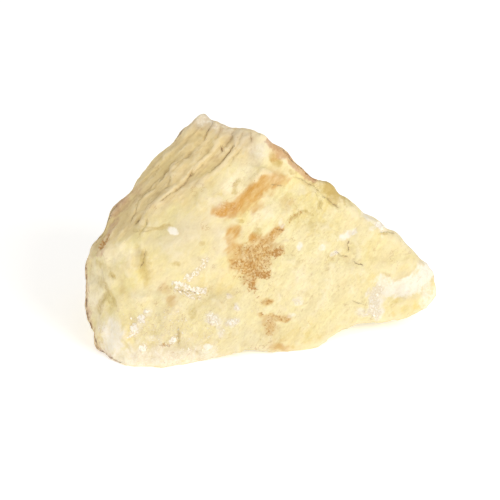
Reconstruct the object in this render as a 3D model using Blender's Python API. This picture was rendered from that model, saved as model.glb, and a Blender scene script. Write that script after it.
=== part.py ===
"""Calcite specimen: one broken, weathered lump of massive calcite, lying on its flattest side.

The lump is a long wedge. Its show face leans back and swings away to the right, where it runs out in a
blunt tip. To the upper left the calcite has split in thin sheets, whose edges run down the slope side by
side. Everything is one piece of stone, so it is one object.

Frame: metres, +Z up, +X along the length towards the tip, -Y towards the side that is shown. The origin is
under the middle of the lump, on the surface that it lies on.
"""

import math

import bmesh
import bpy
import numpy as np
from mathutils import Matrix, Vector, noise

# ---------------------------------------------------------------- driving dimensions
MM = 0.001  # lists of places below are in millimetres, which this turns into metres
LENGTH = 0.100  # over all, along X
SHOW_TILT = math.radians(25)  # the show face is drawn looking down by this much
FRONT = -30.0  # mm, the Y of the lump's foremost point, where a drawing of the show face has its zero
GRID = 0.0010  # spacing of the even mesh that the relief is worked on
ROUNDING_PASSES = 14  # each pass wears the broken edges a little rounder
TRIANGLES = 9400  # of the finished solid
SNAP = 0.00015  # corners this near the ground are brought down to it
LUMP_COLOUR = (0.86, 0.72, 0.40, 1.0)
LUMP_ROUGHNESS = 0.62

# Corners of the block before wear, in mm: X along the length, Y from front to back, Z up.
CORNERS = {
    "apex": (-16.6, 8.0, 61.2),
    "apex_left": (-21.6, 8.0, 57.2),
    "left_slope_high": (-30.4, 6.0, 49.4),
    "left_slope_low": (-43.4, 0.0, 33.4),
    "left_corner_high": (-49.8, -8.0, 23.6),
    "left_corner": (-50.6, -9.0, 21.0),
    "left_belly": (-50.4, -10.0, 9.3),
    "left_foot": (-48.4, -13.0, 4.4),
    "left_toe": (-45.0, -17.0, -0.8),
    "front_left_toe": (-42.4, -25.0, -0.8),
    "front_toe": (-38.0, -29.6, -0.8),
    "front_toe_inner": (-27.0, -29.8, -0.8),
    "crest": (0.5, 0.0, 57.2),
    "crest_left": (-6.0, 4.0, 57.2),
    "shoulder_high": (5.5, 0.0, 49.4),
    "shoulder_low": (27.0, 4.0, 29.0),
    "tip_top": (38.4, 4.0, 24.6),
    "tip_upper": (46.4, 3.0, 16.6),
    "tip_nose_high": (49.6, 2.0, 13.0),
    "tip_nose": (51.0, 1.0, 8.6),
    "tip_nose_low": (50.0, 0.0, 4.9),
    "tip_under": (45.2, -3.0, 3.5),
    "underside_right": (33.0, -5.5, 3.6),
    "front_right_toe": (13.5, -18.5, -0.8),
    "front_mid_toe": (-2.0, -20.0, -0.8),
    "face_belly": (-2.0, -15.0, 28.0),
    "face_right": (22.0, -8.2, 19.0),
    "face_left_low": (-23.4, -28.0, 15.6),
    "face_left_high": (-21.0, -20.6, 30.0),
    "face_corner_low": (-38.5, -28.0, 9.5),
    "left_ridge": (-44.0, -20.0, 15.0),
    "brow_top": (-5.0, -4.0, 54.0),
    "brow_upper": (-18.0, -10.0, 45.0),
    "brow_lower": (-32.0, -16.0, 35.8),
    "brow_left": (-43.5, -15.0, 28.4),
    "back_crest": (-12.0, 21.0, 50.5),
    "back_left_shoulder": (-37.0, 18.0, 32.0),
    "back_left_belly": (-47.0, 8.0, 12.0),
    "back_left_low": (-37.0, 25.0, 11.0),
    "back_low": (-9.0, 31.0, 14.0),
    "back_right_low": (19.0, 27.0, 10.0),
    "back_right_shoulder": (15.0, 20.0, 31.0),
    "back_right": (34.0, 16.0, 17.0),
    "tip_back": (45.0, 10.0, 11.0),
    "toe_back_left": (-40.0, 17.0, -0.8),
    "toe_back": (-12.0, 27.0, -0.8),
    "toe_back_right": (17.0, 23.0, -0.8),
    "underside_back": (34.0, 12.0, 2.4),
}

# The lump is laid down in sheets. BEDDING is the direction straight across them.
STRIKE = math.radians(47)  # how steeply the sheet edges climb on the show face
BEDDING = Vector(
    (
        -math.sin(STRIKE),
        math.cos(STRIKE) * math.sin(SHOW_TILT),
        math.cos(STRIKE) * math.cos(SHOW_TILT),
    )
)
SHEETS = ((4.6, 0.95), (2.3, 0.40))  # mm: pitch and height of the two sets of sheet edges
SHEET_WOBBLE = 1.1  # mm, how far an edge wanders from a straight line
SHEETS_ELSEWHERE = 0.15  # share of the height that shows away from the split slope

# The brow is where the split slope meets the show face. Places on the show face are (across, up) in mm.
BROW = (
    (4.0, 68.0),
    (-4.0, 61.0),
    (-14.0, 52.0),
    (-24.0, 45.0),
    (-34.0, 39.0),
    (-44.0, 33.0),
    (-56.0, 27.0),
)
BROW_FADE = 3.0  # mm each way over which the sheets come in
CALM_SLOPE = 0.5  # share of the other relief that the split slope goes without

# Splits and cracks: their route, then half width, depth, and how far the ground on the left of the route
# stands above the ground on its right, all in mm.
SPLITS = (
    (((-13.6, 69.6), (-15.4, 66.9), (-16.8, 64.2), (-18.0, 61.5), (-20.2, 59.0)), 1.1, 0.45, 0.45),
    (((-8.3, 67.6), (-9.6, 65.2), (-10.4, 62.6)), 1.1, 0.55, 0.3),
    (((-8.6, 62.6), (-10.3, 59.4), (-12.6, 57.4), (-14.8, 54.7), (-18.4, 51.6)), 1.0, 0.6, 0.3),
    (
        (
            (-14.9, 60.9), (-16.9, 58.9), (-19.4, 56.9), (-20.9, 54.0), (-22.9, 51.4),
            (-25.7, 49.4), (-28.2, 47.3),
        ),
        1.1,
        0.6,
        0.55,
    ),
    (
        (
            (-20.6, 59.1), (-23.4, 57.7), (-26.3, 56.0), (-27.7, 54.0), (-30.0, 51.7),
            (-32.3, 49.1), (-35.1, 47.1), (-36.3, 44.0), (-37.4, 41.1),
        ),
        1.1,
        0.5,
        0.6,
    ),
    (((-26.3, 53.1), (-27.4, 50.6), (-30.0, 48.0), (-32.6, 45.7)), 1.0, 0.4, 0.35),
    (((-33.1, 41.7), (-34.0, 39.1), (-35.4, 37.6)), 1.0, 0.6, 0.35),
    (((-44.0, 36.9), (-45.7, 34.3), (-46.9, 32.0)), 0.8, 1.2, 0.5),
    (((-33.9, 32.2), (-34.1, 29.0)), 1.1, 1.1, 0.0),
    (((-32.6, 26.9), (-32.0, 23.4)), 1.2, 0.6, 0.0),
    (((-46.0, 25.6), (-45.1, 21.7), (-43.4, 18.9), (-42.0, 16.4)), 1.3, 0.9, 0.0),
    (((-44.9, 19.1), (-46.3, 16.0), (-47.1, 12.6)), 1.3, 0.8, 0.0),
    (((27.3, 39.6), (25.1, 36.0), (24.5, 34.4), (25.4, 32.0)), 0.7, 0.35, 0.5),
    (((21.4, 31.4), (23.1, 30.6), (25.3, 30.2)), 0.8, 0.35, 0.3),
    (((26.7, 29.3), (28.7, 28.2)), 0.7, 0.3, 0.3),
    (((10.3, 53.4), (15.1, 50.6), (18.0, 48.3), (21.7, 44.7)), 0.9, 0.8, 0.4),
)
LIP_REACH = 4.0  # mm over which the ground falls back from a split's raised side

# Mounds (height above 0) and hollows (below 0): across, up, half width, half height, turn in degrees, height.
MOUNDS = (
    (-39.5, 34.6, 5.0, 3.2, 15, 1.2),
    (-27.5, 31.5, 5.5, 4.5, 0, 1.0),
    (-33.5, 21.5, 4.5, 3.5, 20, 0.8),
    (-41.0, 9.5, 4.0, 6.0, -15, 0.8),
    (-20.0, 38.0, 9.0, 4.5, 25, 0.9),
    (-24.5, 23.5, 3.0, 2.2, 0, -0.8),
    (-37.5, 15.0, 3.2, 2.6, 0, -0.8),
    (-9.0, 33.0, 5.0, 9.0, 0, -0.7),
    (3.0, 42.0, 5.5, 4.0, 35, 0.9),
    (2.0, 55.0, 4.0, 3.0, 40, 1.1),
    (9.8, 58.6, 4.0, 3.0, -40, -1.5),
    (13.6, 52.6, 3.0, 3.0, 0, -1.1),
    (20.0, 50.6, 4.2, 2.2, -40, -1.0),
    (24.5, 47.0, 2.6, 2.6, 0, -0.9),
    (-9.6, 69.8, 3.2, 2.4, 0, -1.5),
    (-26.0, 63.0, 3.0, 2.6, 40, -0.9),
    (-38.5, 49.5, 2.6, 2.0, 40, -0.8),
    (18.0, 38.0, 5.0, 3.0, -20, 0.7),
    (33.0, 35.0, 7.0, 4.0, -35, 0.6),
    (39.0, 36.4, 3.6, 2.4, -40, 1.2),
    (42.0, 29.0, 5.0, 4.0, -50, 0.6),
    (10.0, 22.0, 8.0, 6.0, 0, 0.8),
    (24.5, 7.4, 7.0, 4.4, 25, -2.5),
    (-5.5, 0.6, 8.5, 4.6, 4, -3.0),
    (34.0, 22.0, 5.0, 3.0, 20, -0.9),
    (39.5, 16.8, 4.6, 2.4, 0, 0.9),
    (-6.0, 12.0, 6.0, 4.0, 10, 0.7),
    (-20.0, 8.0, 6.0, 4.0, 0, 0.8),
    (-44.4, 40.6, 3.4, 2.2, 50, -0.9),
    (-33.6, 53.4, 4.6, 2.2, 48, -0.6),
    (-32.5, 55.6, 17.0, 2.6, 49, -0.9),
    (-50.2, 32.2, 2.0, 2.4, 0, -0.7),
    (-12.4, 69.8, 2.2, 1.8, -20, -1.0),
    (-6.8, 67.6, 3.2, 2.2, -15, -1.1),
    (-15.2, 71.2, 1.6, 1.2, 0, 0.5),
    (11.2, 56.4, 1.6, 1.4, -42, -0.5),
    (3.0, 63.4, 2.8, 2.0, -40, -0.7),
    (15.6, 53.6, 2.2, 1.8, -20, -0.9),
    (28.2, 44.0, 3.4, 2.2, -38, -1.2),
    (35.2, 39.8, 1.5, 1.4, -38, -0.8),
    (37.3, 38.8, 1.6, 1.4, -38, 0.8),
    (40.6, 35.4, 1.8, 1.5, -45, -0.8),
    (44.0, 31.4, 4.5, 2.4, -50, -0.5),
    (-50.6, 23.6, 2.4, 3.0, 0, -1.1),
    (-49.2, 12.6, 2.4, 3.2, 0, 0.7),
)

# Weathered relief all over: the size of the swells and their height, in mm, from broad to fine.
SWELLS = ((17.0, 1.5), (7.5, 0.75), (3.2, 0.30))
CHIP_SIZE = 8.5  # mm across, of the flat flakes broken from the surface
CHIP_TILT = 0.16  # how far a flake's face leans out of the surface


def smoothstep(low, high, value):
    """0 below low, 1 above high, and a smooth climb between."""
    t = np.clip((value - low) / (high - low), 0.0, 1.0)
    return t * t * (3.0 - 2.0 * t)


def show_places(points):
    """Where points, in mm, fall on a drawing of the show face: (across, up) in mm."""
    up = (points[:, 1] - FRONT) * math.sin(SHOW_TILT) + points[:, 2] * math.cos(SHOW_TILT)
    return np.column_stack((points[:, 0], up))


def off_route(places, route):
    """Distance of each place from a route, and on which side of it: positive to the left of its direction."""
    best = np.full(len(places), np.inf)
    side = np.zeros(len(places))
    for start, end in zip(np.array(route[:-1]), np.array(route[1:])):
        run = end - start
        away = places - start
        share = np.clip(away @ run / (run @ run), 0.0, 1.0)
        distance = np.linalg.norm(away - share[:, None] * run, axis=1)
        nearer = distance < best
        best = np.where(nearer, distance, best)
        side = np.where(nearer, np.sign(run[0] * away[:, 1] - run[1] * away[:, 0]), side)
    return best, side


def sampled(function, points, size):
    """A noise function of bpy's noise module at each point, in units of size."""
    return np.array([function(Vector(point / size)) for point in points])


def swell_relief(points):
    """Broad and fine weathering, the same kind on every side."""
    relief = np.zeros(len(points))
    for size, height in SWELLS:
        relief += height * sampled(noise.noise, points, size)
    return relief


def chip_relief(points):
    """Flat flakes: the ground inside each cell leans its own way, and meets the next at a low step."""

    def lean(spot):
        (nearest, second, *_), (cell, other, *_) = noise.voronoi(spot)
        own = (spot - cell).dot(noise.cell_vector(cell) - Vector((0.5, 0.5, 0.5)))
        next_one = (spot - other).dot(noise.cell_vector(other) - Vector((0.5, 0.5, 0.5)))
        share = min(1.0, (second - nearest) / 0.25)
        return own * (0.5 + 0.5 * share) + next_one * (0.5 - 0.5 * share)

    return CHIP_SIZE * CHIP_TILT * 2.0 * sampled(lean, points, CHIP_SIZE)


def above_brow(places):
    """1 on the split slope and 0 on the show face."""
    distance, side = off_route(places, BROW)
    return smoothstep(-BROW_FADE, BROW_FADE, -distance * side)


def sheet_relief(points, split_slope):
    """Edges of the split sheets, side by side along the strike: strong on the split slope, else faint."""
    across = points @ np.array(BEDDING)
    across += SHEET_WOBBLE * sampled(noise.noise, points, 13.0)
    patchy = 0.65 + 0.7 * sampled(noise.noise, points + 40.0, 14.0)
    relief = np.zeros(len(points))
    for pitch, height in SHEETS:
        phase = (across / pitch) % 1.0
        relief += height * (smoothstep(0.0, 0.22, phase) * (1.0 - phase) - 0.4)
    return relief * patchy * (SHEETS_ELSEWHERE + (1.0 - SHEETS_ELSEWHERE) * split_slope)


def split_relief(places):
    """The grooves of the splits and cracks, each with one side raised."""
    relief = np.zeros(len(places))
    for route, half_width, depth, lip in SPLITS:
        distance, side = off_route(places, route)
        relief -= depth * np.exp(-((distance / half_width) ** 2))
        relief += lip * side * smoothstep(0.0, half_width, distance) * np.exp(-distance / LIP_REACH)
    return relief


def mound_relief(places):
    """The soft mounds and hollows of the show face."""
    relief = np.zeros(len(places))
    for across, up, half_width, half_height, turn, height in MOUNDS:
        away = places - np.array((across, up))
        cos, sin = math.cos(math.radians(turn)), math.sin(math.radians(turn))
        along = (away[:, 0] * cos + away[:, 1] * sin) / half_width
        over = (away[:, 1] * cos - away[:, 0] * sin) / half_height
        relief += height * np.exp(-(along**2 + over**2))
    return relief


def block():
    """The unworn block: the convex hull of its corners, as a mesh in metres."""
    bm = bmesh.new()
    for corner in CORNERS.values():
        bm.verts.new(Vector(corner) * MM)
    hull = bmesh.ops.convex_hull(bm, input=bm.verts)
    buried = {v for v in hull["geom_interior"] + hull["geom_unused"] if isinstance(v, bmesh.types.BMVert)}
    bmesh.ops.delete(bm, geom=list(buried), context="VERTS")
    bmesh.ops.recalc_face_normals(bm, faces=bm.faces)
    mesh = bpy.data.meshes.new("block")
    bm.to_mesh(mesh)
    bm.free()
    return mesh


def with_modifier(mesh, kind, **settings):
    """The mesh as one modifier leaves it."""
    holder = bpy.data.objects.new("holder", mesh)
    bpy.context.scene.collection.objects.link(holder)
    modifier = holder.modifiers.new(kind.title(), kind)
    for name, value in settings.items():
        setattr(modifier, name, value)
    graph = bpy.context.evaluated_depsgraph_get()
    result = bpy.data.meshes.new_from_object(holder.evaluated_get(graph))
    bpy.data.objects.remove(holder)
    return result


def vertices_of(mesh):
    """The mesh's vertices and their normals, in mm."""
    points = np.empty(len(mesh.vertices) * 3)
    normals = np.empty(len(mesh.vertices) * 3)
    mesh.vertices.foreach_get("co", points)
    mesh.vertices.foreach_get("normal", normals)
    return points.reshape(-1, 3) / MM, normals.reshape(-1, 3)


def carve(mesh):
    """Moves each vertex along its normal by the relief there."""
    points, normals = vertices_of(mesh)
    places = show_places(points)
    towards_show = np.array((0.0, -math.cos(SHOW_TILT), math.sin(SHOW_TILT)))
    facing = normals @ towards_show
    shown = smoothstep(-0.6, 0.1, facing)
    lying = smoothstep(-0.6, -0.95, normals[:, 2]) * smoothstep(2.0, 0.2, points[:, 2])
    split_slope = above_brow(places) * shown
    relief = (swell_relief(points) + chip_relief(points)) * (1.0 - CALM_SLOPE * split_slope)
    relief += sheet_relief(points, split_slope)
    relief *= 1.0 - lying  # the side that it lies on stays flat
    relief += shown * split_relief(places)
    relief += smoothstep(-0.9, -0.3, facing) * mound_relief(places)
    points += normals * relief[:, None]
    mesh.vertices.foreach_set("co", (points * MM).ravel())
    mesh.update()


def cut_flat(mesh):
    """Cuts the lump off along the plane that it lies on, Z = 0, and closes the cut."""
    bm = bmesh.new()
    bm.from_mesh(mesh)
    geometry = [*bm.verts, *bm.edges, *bm.faces]
    bmesh.ops.bisect_plane(
        bm,
        geom=geometry,
        dist=SNAP,
        plane_co=(0, 0, 0),
        plane_no=(0, 0, 1),
        use_snap_center=True,
        clear_inner=True,
    )
    rim = [edge for edge in bm.edges if edge.is_boundary]
    bmesh.ops.contextual_create(bm, geom=rim)
    bmesh.ops.triangulate(bm, faces=bm.faces)
    bmesh.ops.recalc_face_normals(bm, faces=bm.faces)
    if bm.calc_volume(signed=True) < 0.0:
        bmesh.ops.reverse_faces(bm, faces=bm.faces)
    bm.to_mesh(mesh)
    bm.free()


def centre(mesh):
    """Brings the lump to its full length, with the origin under its middle."""
    points, _ = vertices_of(mesh)
    low, high = points.min(axis=0) * MM, points.max(axis=0) * MM
    middle = (low + high) / 2.0
    mesh.transform(Matrix.Translation((-middle[0], -middle[1], -low[2])))
    mesh.transform(Matrix.Scale(LENGTH / (high[0] - low[0]), 4))


def stone_material():
    """Matt yellow calcite."""
    material = bpy.data.materials.new("yellow_calcite")
    material.use_nodes = True
    shader = material.node_tree.nodes["Principled BSDF"]
    shader.inputs["Base Color"].default_value = LUMP_COLOUR
    shader.inputs["Roughness"].default_value = LUMP_ROUGHNESS
    return material


def main():
    """Builds the lump."""
    for old in list(bpy.data.objects):
        bpy.data.objects.remove(old)
    mesh = with_modifier(block(), "REMESH", mode="VOXEL", voxel_size=GRID)
    mesh = with_modifier(mesh, "SMOOTH", factor=0.5, iterations=ROUNDING_PASSES)
    carve(mesh)
    triangles = 2 * len(mesh.polygons)
    mesh = with_modifier(mesh, "DECIMATE", ratio=TRIANGLES / triangles)
    cut_flat(mesh)
    centre(mesh)
    mesh.shade_smooth()
    mesh.materials.append(stone_material())
    mesh.name = "calcite_lump"
    lump = bpy.data.objects.new("calcite_lump", mesh)
    bpy.context.scene.collection.objects.link(lump)


main()
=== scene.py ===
"""Calcite specimen: the finish of one weathered lump of massive yellow calcite.

The lump's main form comes from the frame. Here it gets its fine relief: the edges of the split sheets, the
cracks, the crumbly crust and the bruises. It then gets its colours: yellow and cream calcite, iron stains,
white crust and pale bruises. Loose calcite grains sit on the crust.

Places on the show face are given on a drawing of it, (across, up) in millimetres. The drawing looks along
+Y and down by 25 degrees, and 0 is the lump's foremost point on the ground.
"""

import logging
import math
from dataclasses import dataclass, field
from enum import Enum
from typing import Sequence

import bmesh
import bpy
import numpy as np
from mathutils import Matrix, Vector, noise


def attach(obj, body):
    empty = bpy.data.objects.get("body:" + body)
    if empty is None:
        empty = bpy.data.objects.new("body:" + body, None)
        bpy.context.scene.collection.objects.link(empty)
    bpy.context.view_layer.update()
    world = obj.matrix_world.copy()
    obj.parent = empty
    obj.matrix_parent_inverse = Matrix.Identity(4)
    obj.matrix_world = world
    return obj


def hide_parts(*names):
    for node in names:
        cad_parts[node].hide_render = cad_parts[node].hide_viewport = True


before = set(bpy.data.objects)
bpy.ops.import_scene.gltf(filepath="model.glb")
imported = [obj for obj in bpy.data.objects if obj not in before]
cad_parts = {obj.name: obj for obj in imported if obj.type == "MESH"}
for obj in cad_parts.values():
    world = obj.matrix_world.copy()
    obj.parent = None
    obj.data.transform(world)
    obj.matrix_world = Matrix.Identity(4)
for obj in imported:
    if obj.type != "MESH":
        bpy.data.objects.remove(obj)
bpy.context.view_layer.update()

LOG = logging.getLogger("calcite")
MM = 0.001
NODE = "calcite_lump"
NOISE_FALLOFF = 0.9
NOISE_STEP = 2.0

Colour = tuple[float, float, float, float]
Span = tuple[float, float]
Triple = tuple[float, float, float]
Place = tuple[float, float]
Route = tuple[Place, ...]
Socket = bpy.types.NodeSocket
Number = Socket | float
Inputs = dict[str | int, object]


def srgb(red: int, green: int, blue: int) -> Colour:
    """A colour from the 0 to 255 numbers that a screen shows.

    Args:
        red: The red number.
        green: The green number.
        blue: The blue number.

    Returns:
        The colour in linear light, with alpha 1.
    """

    def linear(value: float) -> float:
        """One channel in linear light."""
        share = value / 255.0
        return share / 12.92 if share <= 0.04045 else ((share + 0.055) / 1.055) ** 2.4

    return (linear(red), linear(green), linear(blue), 1.0)


def smoothstep(low: float, high: float, value: np.ndarray) -> np.ndarray:
    """A smooth climb: 0 where value is before low, 1 where it is past high."""
    share = np.clip((value - low) / (high - low), 0.0, 1.0)
    return share * share * (3.0 - 2.0 * share)


def fractal(points: np.ndarray, size: float, octaves: int, seed: float) -> np.ndarray:
    """Noise at points, about -1 to 1, in octaves layers of which the broadest has features of that size."""
    spots = (points + seed) / size
    return np.array([noise.fractal(Vector(spot), NOISE_FALLOFF, NOISE_STEP, octaves) for spot in spots])


# ---------------------------------------------------------------- the drawing of the show face
@dataclass(frozen=True)
class Drawing:
    """The drawing of the show face, as an eye at some distance sees it."""

    tilt: float = math.radians(25)
    middle: Place = (-3.43, 32.57)
    front: float = -30.0
    depth: float = 27.2
    distance: float = 794.0

    @property
    def up(self) -> Vector:
        """The drawing's upward direction."""
        return Vector((0.0, math.sin(self.tilt), math.cos(self.tilt)))

    @property
    def back(self) -> Vector:
        """The direction from the lump to the eye."""
        return Vector((0.0, -math.cos(self.tilt), math.sin(self.tilt)))

    @property
    def centre(self) -> Vector:
        """The point, in mm, that the eye looks at."""
        foot = Vector((self.middle[0], self.front, 0.0))
        return foot + self.up * self.middle[1] - self.back * self.depth

    @property
    def eye(self) -> Vector:
        """Where the eye is, in mm."""
        return self.centre + self.back * self.distance

    def places(self, points: np.ndarray) -> np.ndarray:
        """Where points fall on the drawing.

        Args:
            points: The points in mm, one a row.

        Returns:
            Their (across, up), one a row.
        """
        away = points - np.array(self.centre)
        scale = self.distance / (self.distance - away @ np.array(self.back))
        across = self.middle[0] + away[:, 0] * scale
        above = self.middle[1] + away @ np.array(self.up) * scale
        return np.column_stack((across, above))

    def facing(self, points: np.ndarray, normals: np.ndarray) -> np.ndarray:
        """How squarely the surface faces the eye.

        Args:
            points: The points in mm, one a row.
            normals: Their normals, one a row.

        Returns:
            1 where it faces the eye, 0 where it is seen edge on, less where it turns away.
        """
        sight = np.array(self.eye) - points
        sight /= np.linalg.norm(sight, axis=1)[:, None]
        return np.einsum("ij,ij->i", sight, normals)


DRAWING = Drawing()


def off_route(places: np.ndarray, route: Sequence[Place]) -> tuple[np.ndarray, np.ndarray]:
    """Distance from a route on the drawing.

    Args:
        places: The places, one a row.
        route: The route's corners.

    Returns:
        The distance, and 1 on the left of the route's direction or -1 on its right.
    """
    best = np.full(len(places), np.inf)
    side = np.zeros(len(places))
    for start, end in zip(np.array(route[:-1]), np.array(route[1:])):
        run = end - start
        away = places - start
        share = np.clip(away @ run / (run @ run), 0.0, 1.0)
        distance = np.linalg.norm(away - share[:, None] * run, axis=1)
        nearer = distance < best
        best = np.where(nearer, distance, best)
        side = np.where(nearer, np.sign(run[0] * away[:, 1] - run[1] * away[:, 0]), side)
    return best, side


@dataclass(frozen=True)
class Sheets:
    """How the thin sheets lie that the calcite splits in."""

    strike: float = math.radians(47)

    @property
    def bedding(self) -> Vector:
        """The direction straight across the sheets."""
        return Vector((-math.sin(self.strike), 0.0, 0.0)) + math.cos(self.strike) * DRAWING.up

    @property
    def along(self) -> Vector:
        """The direction that the sheets' edges run in."""
        return Vector((math.cos(self.strike), 0.0, 0.0)) + math.sin(self.strike) * DRAWING.up

    @property
    def inwards(self) -> Vector:
        """The direction in which a sheet runs into the lump."""
        return self.bedding.cross(self.along)

    def drawn_out(self, points: np.ndarray, share: float) -> np.ndarray:
        """Points moved together along the sheets by a share, so that noise there is drawn out that way."""
        along = np.array(self.along)
        return points - share * (points @ along)[:, None] * along


SHEETS = Sheets()


class ZoneName(Enum):
    """The marks on the lump. The mesh keeps one number at each point for each of them."""

    WASH = "wash"
    IRON = "iron"
    FILM = "film"
    CRUST = "crust"
    BRUISE = "bruise"
    GOLD = "gold"
    CREAM = "cream"
    ROSE = "rose"
    OLIVE = "olive"
    PLATE = "plate"
    FLECK = "fleck"
    # Painted shade on the show face, and faint grey patches out of sight.
    SHADE_AND_DUST = "shade_and_dust"
    SLOPE = "slope"
    # Hollowness: read for painted shade in hollows and painted highlight on crests.
    HOLLOW = "hollow"
    # The cracks' dark lines: grime and painted shade in the cracks, painted shade alone along the outline.
    CRACK_DIRT_AND_SHADE = "crack_dirt_and_shade"
    OFFSET = "offset"


@dataclass(frozen=True)
class Patch:
    """An oval on the drawing, in mm and degrees."""

    across: float
    up: float
    half_width: float
    half_height: float
    strength: float = 1.0
    turn: float = 0.0

    def reach(self, places: np.ndarray) -> np.ndarray:
        """How far inside the oval places are.

        Args:
            places: The places, one a row.

        Returns:
            1 in its middle, 0.5 on its edge, less outside.
        """
        away = places - np.array((self.across, self.up))
        cos, sin = math.cos(math.radians(self.turn)), math.sin(math.radians(self.turn))
        along = (away[:, 0] * cos + away[:, 1] * sin) / self.half_width
        over = (away[:, 1] * cos - away[:, 0] * sin) / self.half_height
        return 1.0 - 0.5 * np.hypot(along, over)


@dataclass(frozen=True)
class Streak:
    """A line of some width on the drawing, in mm."""

    route: Route
    half_width: float
    strength: float

    def reach(self, places: np.ndarray) -> np.ndarray:
        """How far inside the line each place is: 1 on its route, 0.5 on its edge, less outside."""
        distance, _ = off_route(places, self.route)
        return 1.0 - 0.5 * distance / self.half_width


Mark = Patch | Streak


def ovals(*rows: tuple[float, ...]) -> tuple[Mark, ...]:
    """A patch from each row: its place, half width and half height, then its strength and its turn."""
    return tuple(Patch(*row) for row in rows)


def streaks(*rows: tuple[Route, float, float]) -> tuple[Mark, ...]:
    """A streak from each row of a route, a half width and a strength."""
    return tuple(Streak(*row) for row in rows)


@dataclass(frozen=True)
class Scatter:
    """How a mark is strewn over the sides out of sight, in patches of some size."""

    size: float
    start: float
    full: float
    strength: float
    lift: float = 0.3

    def field(self, points: np.ndarray, seed: float) -> np.ndarray:
        """The strength of the patches at each point."""
        clouds = fractal(points, self.size, 4, seed) + self.lift
        return self.strength * smoothstep(self.start, self.full, clouds)


@dataclass(frozen=True)
class Zone:
    """One kind of mark: where it is on the show face, how torn its edges are, how it goes on elsewhere."""

    name: ZoneName
    seed: float
    marks: tuple[Mark, ...]
    wander: float = 0.6
    torn: float = 0.22
    soft: float = 0.14
    scatter: Scatter | None = None
    wander_size: float = 3.2
    tear_size: float = 1.5
    tear_stretch: float = 0.55

    def field(self, points: np.ndarray, places: np.ndarray, shown: np.ndarray) -> np.ndarray:
        """The zone's strength all over the lump.

        Args:
            points: The surface's points in mm.
            places: Where they are on the drawing.
            shown: How far each belongs to the show face.

        Returns:
            A number from 0 to 1 for each point.
        """
        seeds = (self.seed + 11.0, self.seed + 57.0)
        wander = np.column_stack([fractal(points, self.wander_size, 3, seed) for seed in seeds])
        moved = places + wander * self.wander
        stretched = SHEETS.drawn_out(points, self.tear_stretch)
        tear = self.torn * fractal(stretched, self.tear_size, 3, self.seed + 29.0)
        front = np.zeros(len(points))
        for mark in self.marks:
            inside = smoothstep(0.5 - self.soft, 0.5 + self.soft, mark.reach(moved) + tear)
            front = np.maximum(front, mark.strength * inside)
        back = self.scatter.field(points, self.seed) if self.scatter else 0.0
        return front * shown + back * (1.0 - shown)


# Routes that several kinds of marks follow: the small hook beside the upper stain, its barb, and the tail of
# the lower stain.
HOOK: Route = ((8.0, 40.8), (9.5, 42.2), (11.4, 43.5))
BARB: Route = ((12.0, 43.8), (14.2, 42.4))
TAIL: Route = ((0.0, 34.3), (2.4, 36.2), (5.0, 38.6))

WASH = Zone(
    ZoneName.WASH,
    3.0,
    ovals(
        (-11.8, 43.5, 2.6, 1.7, 0.85, 10), (-8.8, 44.8, 3.2, 1.8), (-5.2, 45.2, 2.8, 1.9, 0.95),
        (-7.0, 44.8, 6.6, 2.8, 0.7, 15), (-4.4, 47.2, 4.0, 2.4, 0.95, 35), (-1.2, 49.9, 4.0, 2.5, 1.0, 38),
        (0.8, 51.9, 3.8, 2.4, 0.9, 20), (3.8, 52.8, 3.8, 2.2, 0.65), (1.2, 48.7, 2.8, 1.5, 0.4, 20),
        (7.3, 46.2, 2.6, 1.8, 0.35, 20), (1.6, 55.0, 2.4, 1.4, 0.25), (3.6, 59.3, 1.5, 2.0, 0.5),
        (-8.3, 38.2, 2.2, 1.9, 0.85), (-8.9, 35.8, 1.8, 2.0, 0.65), (-7.4, 32.4, 2.6, 2.8, 0.8),
        (-6.6, 28.6, 2.9, 2.9, 0.8), (-2.4, 35.6, 1.9, 1.6, 0.9), (-1.6, 31.6, 5.4, 3.0, 0.75, 5),
        (-3.8, 28.0, 4.8, 3.2, 0.8), (4.2, 32.4, 2.0, 2.1, 0.7), (1.9, 33.8, 2.6, 1.6, 0.6),
        (-0.2, 28.4, 2.9, 2.5, 0.6), (1.0, 25.9, 2.0, 1.3, 0.75), (-3.2, 24.4, 2.6, 2.4, 0.6),
        (-3.2, 22.2, 1.5, 1.7, 0.5), (1.8, 17.6, 1.8, 1.0, 0.8, 10), (2.5, 10.6, 2.2, 2.4, 0.6),
        (0.4, 12.0, 1.0, 1.6, 0.5), (4.8, 4.9, 3.2, 1.1, 0.6, -4), (5.0, 7.0, 2.2, 0.7, 0.3),
        (-27.6, 21.2, 2.0, 1.5, 0.36), (-25.8, 17.8, 1.7, 1.8, 0.55), (-25.4, 16.8, 0.8, 1.2, 0.5),
        (-39.8, 20.9, 1.2, 1.3, 0.3),
    )
    + streaks(
        (HOOK, 0.5, 0.2),
        (((2.8, 62.2), (6.2, 60.0), (8.4, 58.0)), 1.0, 0.4),
        (((8.4, 58.2), (12.2, 54.6), (14.6, 52.6)), 0.7, 0.3),
        (TAIL, 1.3, 0.85),
        (((-0.6, 13.8), (3.6, 13.2), (7.4, 13.2)), 0.8, 0.62),
    ),
    soft=0.3,
    scatter=Scatter(19.0, 0.72, 1.08, 0.75),
)
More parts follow.
